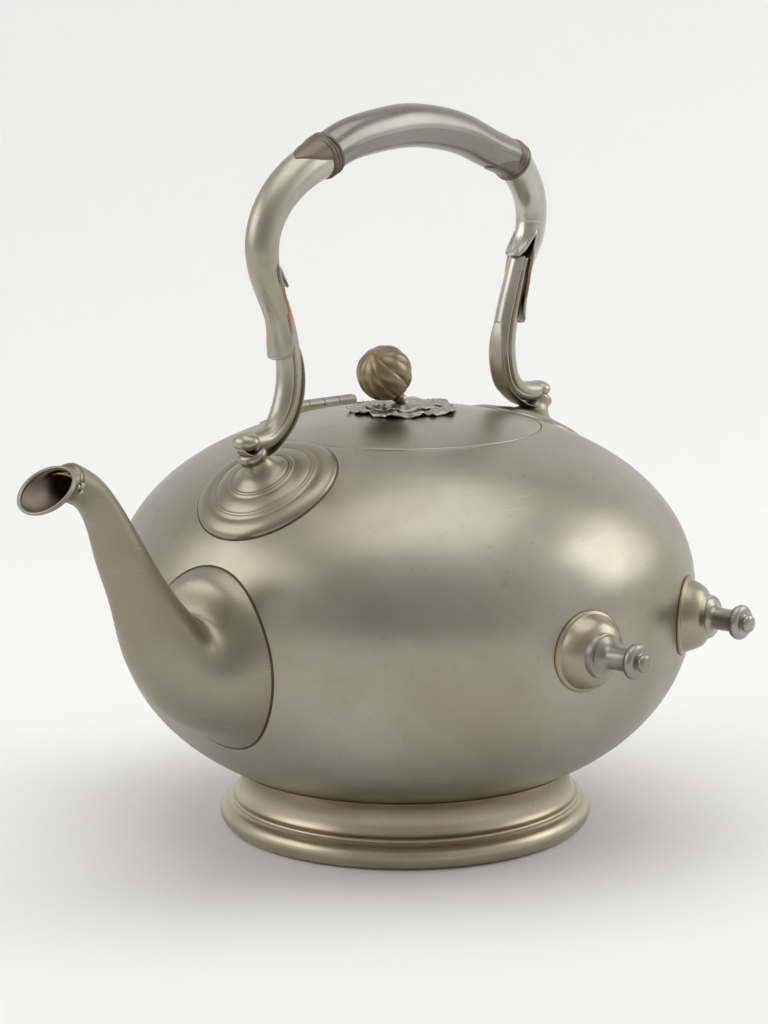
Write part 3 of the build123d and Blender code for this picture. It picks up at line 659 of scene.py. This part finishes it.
def frame_at(k):
    """Point of the handle's line, with its direction and its outward side."""
    k = min(max(k, 0.0), len(route) - 1.001)
    i = int(k)
    p = route[i] + (route[i + 1] - route[i]) * (k - i)
    t = unit(route[min(i + 6, len(route) - 1)] - route[max(i - 6, 0)])
    return p, t, np.array((-t[2], 0.0, t[0]))


def around(k, radius, angle, wide=1.0):
    """Point on the handle's surface: angle 0 is outward, 90 toward the near side."""
    p, t, n = frame_at(k)
    a = math.radians(angle)
    return p + n * radius * math.cos(a) - FAR * radius * wide * math.sin(a)


def radius_at(side, entries, k):
    keys = sorted((share_of(side, out, up), r) for out, up, r in entries)
    return float(np.interp(k, [a for a, r in keys], [r for a, r in keys]))


def bell(x, middle, width):
    return math.exp(-(((x - middle) / width) ** 2))


def folded(angle):
    """Angle from the outward side, the same on the near and the far flank."""
    return abs((angle + 180) % 360 - 180)


def leg_shape(angle, groove):
    """Share of the radius: a broad face with a groove and a raised edge on each flank."""
    a = folded(angle)
    return (1.0 - 0.14 * bell(a, groove, 6) + 0.035 * bell(a, groove + 13, 6) + 0.02 * bell(a, groove - 12, 7)
            - 0.03 * bell(a, groove + 35, 16))


# Each leaf cup's edge as angle and height over the shoulder, and its flare as angle and millimetres
CUP_EDGE = ((0, 53.5), (30, 53.6), (50, 54.6), (62, 57.5), (70, 64.0), (76, 71.0), (83, 73.5), (88, 79.0),
            (100, 83.5), (113, 91.0), (122, 89.0), (135, 82.0), (150, 79.5), (180, 79.0))
CUP_LIP = ((0, 2.4), (50, 2.0), (66, 1.1), (76, 0.7), (100, 0.7), (118, 0.5), (135, 0.9), (180, 1.0))
LEG_STEPS = 90
ARM_STEPS = 60
CUP_STEPS = 36
TRACK_STEPS = 60
TONGUE_LONG = 18.0
TONGUE_ROWS, TONGUE_COLS = 30, 16

for end, side, leg, arm, tip_out, tip_up, groove in (
    ("front", -1, FRONT_LEG, FRONT_ARM, 9.0, 18.3, 72),
    ("rear", 1, REAR_LEG, REAR_ARM, 5.0, 17.2, 110),
):
    foot_k, top_k = share_of(side, tip_out, tip_up), share_of(side, leg[-1][0], leg[-1][1])
    rings = []
    for i in range(LEG_STEPS + 1):
        w = i / LEG_STEPS
        k = foot_k + (top_k - foot_k) * w
        ease = smooth(0.02, 0.3, w)
        r = radius_at(side, leg, k) + 1.2 * (1 - smooth(0.0, 0.2, w))
        rings.append([around(k, r * (1 + (leg_shape(a, groove) - 1) * ease), a, 1.0 + 0.18 * (1 - ease))
                      for a in TURNS])
    pieces = [swept(rings)]
    # Rolled tip
    centre = np.array((side * (REACH + tip_out + 2.2), 0.0, SHOULDER + tip_up + 0.6))
    ball = []
    for i in range(33):
        polar = math.pi * i / 32
        ball.append(ring_of(centre - FAR * 6.3 * math.cos(polar), np.array((5.4 * math.sin(polar), 0.0, 0.0)),
                            UP * 3.9 * math.sin(polar), 48))
    pieces.append(swept(ball, False, False))
    # Thin leaf that runs under the tip and up the leg's back, as places with half widths
    under = []
    for turn, q, half in ((-20, 4.2, 3.2), (-45, 4.5, 4.4), (-70, 4.9, 5.2), (-95, 5.5, 5.6),
                          (-112, 6.8, 5.8)):
        a = math.radians(turn)
        under.append((*(centre + np.array((q * side * math.cos(a), 0.0, q * math.sin(a)))), half))
    for i in range(20, 60, 5):
        k = foot_k + (top_k - foot_k) * i / LEG_STEPS
        under.append((*around(k, radius_at(side, leg, k) + 0.1, 180), 4.6))
    track = natural_spline(under, TRACK_STEPS)
    rings = []
    for i, q in enumerate(track):
        t = unit(track[min(i + 1, TRACK_STEPS - 1)][:3] - track[max(i - 1, 0)][:3])
        half = q[3] * (1 - 0.5 * abs(2 * i / (TRACK_STEPS - 1) - 1) ** 4)
        rings.append(ring_of(q[:3], np.array((-t[2], 0.0, t[0])) * 0.55, FAR * half, 16))
    pieces.append(swept(rings))
    verts, faces = joined(*pieces)
    make(f"leg_{end}", verts, faces, "kettle", handle_plate, [f"handle_leg_{end}"])
    lines = []
    for flank in (groove, -groove):
        run = []
        for i in range(20, 84):
            k = foot_k + (top_k - foot_k) * i / LEG_STEPS
            run.append(around(k, radius_at(side, leg, k) * 0.9, flank))
        lines.append(wire(run, 0.42, taper=0.6))
    verts, faces = joined(*lines)
    make(f"leg_line_{end}", verts, faces, "kettle", copper)

    # Arm, a round stem that ends in a cup of leaf lips
    joint_k = share_of(side, arm[-1][0], arm[-1][1])
    cup_k = share_of(side, -0.3 if side < 0 else 1.2, 97.0)
    branch = range(0, len(route) // 2) if side < 0 else range(len(route) // 2, len(route))
    column = sorted((route[k][2], k) for k in branch if SHOULDER + 48 < route[k][2] < SHOULDER + 99)

    def at_height(up):
        return float(np.interp(SHOULDER + up, [z for z, k in column], [k for z, k in column]))

    rings = []
    for i in range(ARM_STEPS + 1):
        k = joint_k + (cup_k - joint_k) * i / ARM_STEPS
        r = radius_at(side, arm, k)
        rings.append([around(k, r, a) for a in TURNS])
    outer_cup, inner_cup = [], []
    for i in range(1, CUP_STEPS + 1):
        w = i / CUP_STEPS
        ribbed = smooth(0.2, 0.7, w) * (1 - smooth(0.8, 1.0, w))
        ring, hollow = [], []
        for a in TURNS:
            fold = folded(a)
            edge_up = float(np.interp(fold, *zip(*CUP_EDGE)))
            lip = float(np.interp(fold, *zip(*CUP_LIP)))
            k = cup_k + (at_height(edge_up) - cup_k) * w
            ribs = 0.34 * (math.cos(math.radians(fold * 9)) - 1) * ribbed
            r = 6.95 - 0.35 * w + lip * smooth(0.62, 1.0, w) + ribs
            ring.append(around(k, r, a))
            hollow.append(around(k, r - 0.9 - 0.5 * (1 - w), a))
        outer_cup.append(ring)
        inner_cup.append(hollow)
    bead = [(a + b) / 2 for a, b in zip(outer_cup[-1], inner_cup[-1])]
    verts, faces = joined(swept(rings + outer_cup + [bead] + inner_cup[:11:-1], True, False),
                          wire(bead, 0.62, 10, closed=True))
    make(f"arm_{end}", verts, faces, "kettle", handle_plate, [f"handle_arm_{end}"])
    copper_edge = []
    for flank in (1, -1):
        run = [bead[a * flank // 3] for a in range(57, 117, 3)]
        copper_edge.append(wire(polyline(run, 1.0), 0.72, 8, taper=0.5))
    verts, faces = joined(*copper_edge)
    make(f"cup_line_{end}", verts, faces, "kettle", copper)

    # Collar of three ridges with one rounded tongue
    r0 = arm[-1][2]
    p, t, n = frame_at(joint_k)
    profile = [(r0 - 0.3, -3.3), (r0 + 0.1, -3.25)]
    for step in (-1, 0, 1):
        for b in range(8, 176, 14):
            a = math.radians(b)
            profile.append((r0 + 0.15 + 0.95 * math.sin(a), step * 2.1 - math.cos(a)))
    profile += [(r0 + 0.1, 3.25), (r0 - 0.3, 3.3)]
    long_k = TONGUE_LONG / np.linalg.norm(route[joint_k + 1] - route[joint_k])
    middle_angle = 18.0 if side < 0 else 172.0
    loop = []
    for i in range(TONGUE_ROWS + 1):
        w = i / TONGUE_ROWS
        half = 74 * (1 - w**1.7) ** 0.8 + 0.2
        k = joint_k - long_k * w
        body_r = radius_at(side, (arm if side < 0 else arm[-1:] + REAR_GRIP), k)
        rise = 0.85 * (1 - 0.5 * w)
        above, below = [], []
        for c in range(TONGUE_COLS + 1):
            u = 2 * c / TONGUE_COLS - 1
            above.append(around(k, body_r + rise * (1 - abs(u) ** 6), middle_angle + half * u))
            below.append(around(k, body_r - 0.5, middle_angle + half * u))
        loop.append(above + below[::-1])
    verts, faces = joined(turned(profile, p, t), swept(loop))
    make(f"collar_{end}", verts, faces, "kettle", bronze, [f"handle_collar_{end}"], sharp=60)

# Grip, slightly flattened, with a soft crease along its near and far side
grip_entries = placed(-1, FRONT_ARM[-1:] + FRONT_GRIP) + placed(1, REAR_ARM[-1:] + REAR_GRIP)[::-1]
grip_keys = [int(np.argmin(np.linalg.norm(route - np.array(g[:3]), axis=1))) for g in grip_entries]
GRIP_STEPS = 120
rings = []
for i in range(GRIP_STEPS + 1):
    w = i / GRIP_STEPS
    k = grip_keys[0] + (grip_keys[-1] - grip_keys[0]) * w
    r = float(np.interp(k, grip_keys, [g[3] for g in grip_entries]))
    ease = smooth(0.0, 0.12, w) * smooth(0.0, 0.12, 1 - w)
    ring = []
    for a in TURNS:
        fold = folded(a)
        shape = 1 + ease * (0.03 * bell(fold, 100, 7) - 0.035 * bell(fold, 122, 14)
                            - 0.02 * bell(fold, 60, 25))
        ring.append(around(k, r * shape, a))
    rings.append(ring)
verts, faces = swept(rings)
make("grip", verts, faces, "kettle", grip_painted_shade_plate, ["handle_grip"])


def relief(middle, normal, profile, flat, follow, count=128):
    """Round piece on the vessel: flat-topped within one radius, following it beyond another."""
    middle, normal = np.array(middle, float), unit(np.array(normal, float))
    side = unit(np.cross(normal, FAR if abs(normal[1]) < 0.9 else UP))
    other = np.cross(normal, side)
    fine = []
    for (r0, h0), (r1, h1) in zip(profile[:-1], profile[1:]):
        n = max(1, int(math.hypot(r1 - r0, h1 - h0) / 0.7))
        fine += [(r0 + (r1 - r0) * q / n, h0 + (h1 - h0) * q / n) for q in range(n)]
    fine.append(profile[-1])
    verts = []
    for r, h in fine:
        for q in ring_of(middle, side * r, other * r, count):
            ground = float(np.dot(onto_vessel(q, normal) - q, normal))
            verts.append(q + normal * (h + ground * smooth(flat, follow, r)))
    return verts, grid_faces(len(fine), count)


def ground_ring(middle, normal, axes, radius, height, count=128):
    """Points round a middle at one height over the vessel."""
    return [onto_vessel(q, normal) + normal * height
            for q in ring_of(middle, axes[0] * radius, axes[1] * radius, count)]


# Stepped round base of each leg, as pairs of radius and height
BASE = ((0.0, 17.6), (4.6, 17.6), (5.9, 16.8), (6.5, 15.6), (6.4, 14.2), (5.8, 13.2), (5.9, 12.0), (6.8, 9.8),
        (8.2, 8.0), (9.6, 6.9), (11.2, 6.2), (12.0, 5.85), (12.4, 5.55), (12.8, 5.75), (13.3, 5.7),
        (13.6, 5.35), (13.9, 5.5), (14.4, 5.35), (14.7, 4.95), (15.6, 4.95), (17.0, 4.85), (18.6, 4.55),
        (20.0, 4.15), (21.0, 3.75), (21.3, 3.45), (21.7, 3.65), (22.2, 3.5), (22.5, 3.2), (22.9, 3.35),
        (23.4, 3.15), (23.8, 2.75), (25.0, 2.95), (26.8, 3.0), (28.4, 2.75),
        (29.8, 2.2), (30.9, 1.45), (31.4, 0.8), (31.5, 0.2), (31.3, -0.6))
BASE_SEAM_R = 31.55
out_slope = (REACH / VESSEL_R) ** (CROWN_P - 1) / VESSEL_R
up_slope = ((SHOULDER - WIDEST_Z) / CROWN_H) ** (CROWN_P - 1) / CROWN_H
tilt = math.atan2(out_slope, up_slope)
for end, side in (("front", -1), ("rear", 1)):
    middle_point = np.array((side * REACH, 0.0, SHOULDER))
    normal = np.array((side * math.sin(tilt), 0.0, math.cos(tilt)))
    verts, faces = relief(middle_point, normal, BASE, 6.0, 13.0)
    make(f"base_{end}", verts, faces, "kettle", base_plate, [f"handle_base_{end}"])
    axes = (np.cross(normal, FAR), FAR)
    verts, faces = wire(ground_ring(middle_point, normal, axes, BASE_SEAM_R, 0.1, 160), 0.42, closed=True)
    make(f"base_seam_{end}", verts, faces, "kettle", seam_and_gap_shade_metal)
    verts, faces = joined(*(wire(ground_ring(middle_point, normal, axes, r, h), 0.28, closed=True)
                            for r, h in ((13.6, 5.15), (22.5, 3.02))))
    make(f"base_lines_{end}", verts, faces, "kettle", copper)

# Studs, as a domed flange that follows the vessel and a turned pin, both pairs of radius and height
STUD_Z = 102.0
FLANGE_EDGE_R = 17.2
PIN_SEAT = 9.0
FLANGE = ((0.0, 9.1), (9.2, 9.05), (9.9, 8.8), (10.4, 8.3), (11.4, 7.8), (12.6, 6.9), (13.7, 5.7),
          (14.7, 4.3), (15.4, 2.9), (15.8, 1.8), (15.95, 1.4), (16.3, 1.25), (16.9, 1.2), (17.2, 0.9),
          (17.25, 0.3), (17.0, -0.6))
PIN = ((0.0, -5.0), (9.0, -3.9), (9.5, -3.6), (9.6, -3.0), (9.6, 0.3), (9.4, 0.75), (8.8, 1.0), (8.3, 1.05),
       (7.6, 1.5), (6.2, 2.6), (5.4, 3.4), (5.0, 4.2), (4.9, 5.0), (4.85, 9.0), (4.85, 13.3), (5.0, 13.8),
       (6.3, 14.1), (7.1, 14.7), (7.5, 15.6), (7.6, 16.3), (7.5, 17.1), (7.0, 17.9), (6.1, 18.4),
       (4.8, 18.6), (3.4, 18.65), (3.2, 18.9), (3.7, 19.4),
       (4.0, 20.1), (3.9, 21.0), (3.3, 21.8), (2.2, 22.3), (0.0, 22.4))
for far, bank in ((-1, "near"), (1, "far")):
    for bearing, end in ((76.0, "front"), (112.0, "rear")):
        bank_end = f"{bank}_{end}"
        bearing_a = math.radians(bearing)
        outward = np.array((-math.cos(bearing_a), far * math.sin(bearing_a), 0.0))
        seat = outward * VESSEL_R + UP * STUD_Z
        verts, faces = relief(seat, outward, FLANGE, 12.0, 15.8)
        make(f"flange_{bank_end}", verts, faces, "kettle", stud_plate,
             [f"stud_flange_{bank_end}"])
        ring = ground_ring(seat, outward, (np.cross(outward, UP), UP), FLANGE_EDGE_R, 0.35)
        verts, faces = wire(ring, 0.4, closed=True)
        make(f"flange_lip_{bank_end}", verts, faces, "kettle", copper)
        verts, faces = turned(PIN, seat + outward * PIN_SEAT, (0, far, 0), 72)
        make(f"pin_{bank_end}", verts, faces, "kettle", pin_plate, [f"stud_pin_{bank_end}"],
             sharp=50)

# Lid, from its middle hole out to a softened edge and back underneath
LID_HOLE_R, LID_ROUND_R = 2.65, 60.6
crown = [(r, vessel_z(r)) for r in np.linspace(LID_HOLE_R, LID_ROUND_R, 49)]
lid_z = vessel_z(LID_R)
edge = [(LID_R - 0.15, lid_z - 0.05), (LID_R, lid_z - 0.3), (LID_R, lid_z - SHEET)]
below = [(r, z - SHEET) for r, z in crown[::-1]]
verts, faces = turned(crown + edge + below + [crown[0]], count=192)
make("lid", verts, faces, "lid", lid_plate, ["lid_shell"], sharp=50)
# A near-black wire sunk in the gap round the lid: painted shade that darkens the gap.
gap_r = LID_R + 0.2
lid_gap_shade_ring = ring_of(UP * (vessel_z(gap_r) - 0.75), np.array((gap_r, 0.0, 0.0)), FAR * gap_r, 200)
verts, faces = wire(lid_gap_shade_ring, 0.12, 6, closed=True)
make("lid_gap_shade", verts, faces, "kettle", seam_and_gap_shade_metal)

# Bud of nine twisted lobes that lean toward the spout
BUD_RINGS, BUD_LINES = 80, 180
LEAN = math.radians(37.0)
bud_along = np.array((-math.sin(LEAN), 0.0, math.cos(LEAN)))
bud_side = np.array((math.cos(LEAN), 0.0, math.sin(LEAN)))
bud_foot = np.array((-5.6, 0.0, vessel_z(0) + 7.6))
verts = []
for i in range(BUD_RINGS + 1):
    polar = math.pi * i / BUD_RINGS
    rise = 12.0 * (1 - math.cos(polar)) + 0.7 * smooth(2.8, math.pi, polar)
    swell = 12.4 * math.sin(polar) ** 0.95 if 0 < i < BUD_RINGS else 0.0
    for k in range(BUD_LINES):
        a = 2 * math.pi * k / BUD_LINES
        wind = a + math.radians(48) * (polar / math.pi) ** 1.2
        lobe = abs(math.sin(4.5 * wind)) ** 0.45
        r = swell * (1 - 0.1 * (1 - lobe)) * (1 + 0.012 * math.sin(3 * wind))
        verts.append(bud_foot + bud_along * rise + (bud_side * math.cos(a) + FAR * math.sin(a)) * r)
make("bud", verts, grid_faces(BUD_RINGS + 1, BUD_LINES), "lid", bud_metal, ["finial_bud"])

LEAF_RINGS, LEAF_LINES = 33, 240


def leaf_layer(reach, lift, phase, seed, lobes):
    """One layer of the crumpled rosette under the bud, with its underside."""
    rng = random.Random(seed)
    waves = [(rng.randint(7, 31), rng.uniform(0, 6.28), rng.uniform(0.3, 1.0)) for _ in range(9)]
    top, bottom = [], []
    for i in range(LEAF_RINGS):
        share = i / (LEAF_RINGS - 1)
        for k in range(LEAF_LINES):
            a = 2 * math.pi * k / LEAF_LINES
            big = 0.5 + 0.5 * math.cos(lobes * a + phase)
            small = 0.5 + 0.5 * math.cos(3 * lobes * a + phase * 2 + 0.8)
            rag = sum(w * math.cos(n * a + p) for n, p, w in waves) / 9
            outline = reach * (0.78 + 0.13 * big ** 0.6 + 0.06 * small + 0.05 * rag)
            r = 2.3 + (outline - 2.3) * share
            vein = abs(math.sin(0.5 * (lobes * a + phase))) ** 0.35
            side_vein = 0.5 + 0.5 * math.cos(r * 2.1 - 5.0 * abs(math.sin(0.5 * (lobes * a + phase))))
            crumple = (0.8 * (1 - vein) * smooth(0.05, 0.4, share) + 0.6 * side_vein * smooth(0.2, 0.6, share)
                       + 1.1 * rag * share + 0.3 * math.sin(r * 1.3 + 5 * a) * share)
            curl = 0.9 * share ** 2 * (0.35 + 0.65 * math.cos(2 * lobes * a + 1.0 + phase))
            h = 0.75 + lift * (1 - 0.45 * share) + crumple + max(curl, -0.2)
            x, y = r * math.cos(a), r * math.sin(a)
            ground = vessel_z(r)
            top.append((x, y, ground + max(h, 0.45)))
            bottom.append((x, y, ground + max(h - 0.75, 0.02)))
    base = len(top)
    faces = grid_faces(LEAF_RINGS, LEAF_LINES)
    faces += [tuple(base + q for q in f) for f in faces]
    for k in range(LEAF_LINES):
        a, b = base - LEAF_LINES + k, base - LEAF_LINES + (k + 1) % LEAF_LINES
        faces.append((a, b, base + b, base + a))
    return top + bottom, faces


verts, faces = joined(leaf_layer(26.4, 0.3, 0.6, 3, 5), leaf_layer(19.0, 1.9, 2.0, 8, 4))
make("leaves", verts, faces, "lid", leaf_metal, ["finial_leaves"])

# Bent neck between the rosette and the bud
NECK_RINGS = 24
bend = natural_spline([(x, 0.0, vessel_z(0) + up) for x, up in ((0.0, 0.6), (-1.8, 4.2), (-6.0, 8.8))],
                      NECK_RINGS)
rings = []
for i, q in enumerate(bend):
    t = unit(bend[min(i + 1, NECK_RINGS - 1)] - bend[max(i - 1, 0)])
    w = i / (NECK_RINGS - 1)
    r = 2.6 + 2.2 * (1 - smooth(0.0, 0.35, w)) + 1.5 * smooth(0.7, 1.0, w) + 0.25 * math.sin(w * 20)
    rings.append(ring_of(q, np.array((t[2], 0.0, -t[0])) * r, FAR * r, 32))
verts, faces = swept(rings)
make("neck", verts, faces, "lid", leaf_metal)


def set_camera():
    """Camera at the photograph's place."""
    cam = bpy.data.cameras.new("camera")
    cam.lens = 100.25
    cam.clip_end = 20.0
    obj = bpy.data.objects.new("camera", cam)
    bpy.context.scene.collection.objects.link(obj)
    pitch, yaw, roll = (math.radians(a) for a in (11.0412, -0.4057, -0.3278))
    right0 = Vector((0.6428, -0.7660, 0.0))
    ahead0 = Vector((0.7660, 0.6428, 0.0))
    right1 = right0 * math.cos(yaw) - ahead0 * math.sin(yaw)
    level = right0 * math.sin(yaw) + ahead0 * math.cos(yaw)
    up1 = level * math.sin(pitch) + Vector((0, 0, 1)) * math.cos(pitch)
    ahead = level * math.cos(pitch) - Vector((0, 0, 1)) * math.sin(pitch)
    right = right1 * math.cos(roll) + up1 * math.sin(roll)
    up = up1 * math.cos(roll) - right1 * math.sin(roll)
    turn = Matrix((right, up, -ahead)).transposed().to_4x4()
    obj.matrix_world = Matrix.Translation((-0.9580, -0.8039, 0.3847)) @ turn
    bpy.context.scene.camera = obj


set_camera()

# Pale linen floor that rises into a backdrop behind the kettle
away = Vector((0.766, 0.643, 0.0))
across = Vector((0.643, -0.766, 0.0))
cloth = bpy.data.materials.new("cloth")
cloth.use_nodes = True
tree = cloth.node_tree
weave = tree.nodes["Principled BSDF"]
weave.inputs["Base Color"].default_value = (0.89, 0.889, 0.888, 1.0)
weave.inputs["Roughness"].default_value = 0.95
weave.inputs["Specular IOR Level"].default_value = 0.1
wave = node(tree, "ShaderNodeTexNoise")
wave.inputs["Scale"].default_value = 900.0
wave.inputs["Detail"].default_value = 2.0
lift = node(tree, "ShaderNodeBump")
lift.inputs["Strength"].default_value = 0.25
lift.inputs["Distance"].default_value = 0.0005
place = node(tree, "ShaderNodeTexCoord")
tree.links.new(place.outputs["Object"], wave.inputs["Vector"])
tree.links.new(wave.outputs["Fac"], lift.inputs["Height"])
tree.links.new(lift.outputs["Normal"], weave.inputs["Normal"])
# The cloth's reverse is clear, so the backdrop hides nothing from behind
reverse = node(tree, "ShaderNodeNewGeometry")
clear = node(tree, "ShaderNodeBsdfTransparent")
one_sided = node(tree, "ShaderNodeMixShader")
tree.links.new(reverse.outputs["Backfacing"], one_sided.inputs[0])
tree.links.new(weave.outputs["BSDF"], one_sided.inputs[1])
tree.links.new(clear.outputs["BSDF"], one_sided.inputs[2])
tree.links.new(one_sided.outputs["Shader"], tree.nodes["Material Output"].inputs["Surface"])
BEND_START, BEND_R, HALF_WIDE = 0.75, 0.5, 2.5
run = [(-3.0, 0.0), (BEND_START, 0.0)]
for turn in range(6, 85, 6):
    a = math.radians(turn)
    run.append((BEND_START + BEND_R * math.sin(a), BEND_R - BEND_R * math.cos(a)))
run += [(1.4, 3.0)]
verts = []
for d, z in run:
    for side in (-HALF_WIDE, HALF_WIDE):
        p = away * d + across * side
        verts.append((p.x, p.y, z - 0.0002))
mesh = bpy.data.meshes.new("floor")
mesh.from_pydata(verts, [], [(2 * i, 2 * i + 1, 2 * i + 3, 2 * i + 2) for i in range(len(run) - 1)])
for p in mesh.polygons:
    p.use_smooth = True
floor = bpy.data.objects.new("floor", mesh)
bpy.context.scene.collection.objects.link(floor)
mesh.materials.append(cloth)


def soft_light(name, where, aim, size, power):
    """White window-like light at a place, turned toward its aim."""
    lamp = bpy.data.lights.new(name, "AREA")
    lamp.shape = "RECTANGLE"
    lamp.size, lamp.size_y = size
    lamp.energy = power
    obj = bpy.data.objects.new(name, lamp)
    bpy.context.scene.collection.objects.link(obj)
    where, aim = Vector(where), Vector(aim)
    obj.location = where
    obj.rotation_mode = "QUATERNION"
    obj.rotation_quaternion = (aim - where).to_track_quat("-Z", "Y")


def from_view(right, toward, up):
    """A place told from the camera: to its right, toward it from the axis, and up."""
    p = across * right - away * toward
    return (p.x, p.y, up)


middle = (0, 0, 0.12)
soft_light("window_left", from_view(-1.4, 0.3, 0.9), middle, (1.2, 1.0), 6.0)
soft_light("window_right", from_view(1.7, -0.35, 1.05), middle, (1.2, 1.1), 9.0)
soft_light("ceiling", from_view(0.1, 0.0, 1.9), middle, (1.6, 1.6), 9.0)

# Even room light that is dimmer low down on the side from which the kettle is seen
world = bpy.data.worlds.new("world")
bpy.context.scene.world = world
world.use_nodes = True
tree = world.node_tree
tree.nodes.clear()
sky_out = node(tree, "ShaderNodeOutputWorld")
sky = node(tree, "ShaderNodeBackground")
where = node(tree, "ShaderNodeTexCoord")
facing = node(tree, "ShaderNodeVectorMath", operation="DOT_PRODUCT")
facing.inputs[1].default_value = (-0.766, -0.643, 0.1)
shade_side = node(tree, "ShaderNodeMapRange")
shade_side.inputs["From Min"].default_value = 0.45
shade_side.inputs["From Max"].default_value = 1.0
shade_side.inputs["To Min"].default_value = 0.72
shade_side.inputs["To Max"].default_value = 0.38
sky.inputs["Color"].default_value = (1.0, 0.995, 0.98, 1.0)
tree.links.new(where.outputs["Generated"], facing.inputs[0])
tree.links.new(facing.outputs["Value"], shade_side.inputs["Value"])
tree.links.new(shade_side.outputs["Result"], sky.inputs["Strength"])
tree.links.new(sky.outputs["Background"], sky_out.inputs["Surface"])

scene = bpy.context.scene
scene.view_settings.view_transform = "Standard"
scene.view_settings.look = "None"
scene.view_settings.exposure = 0.0
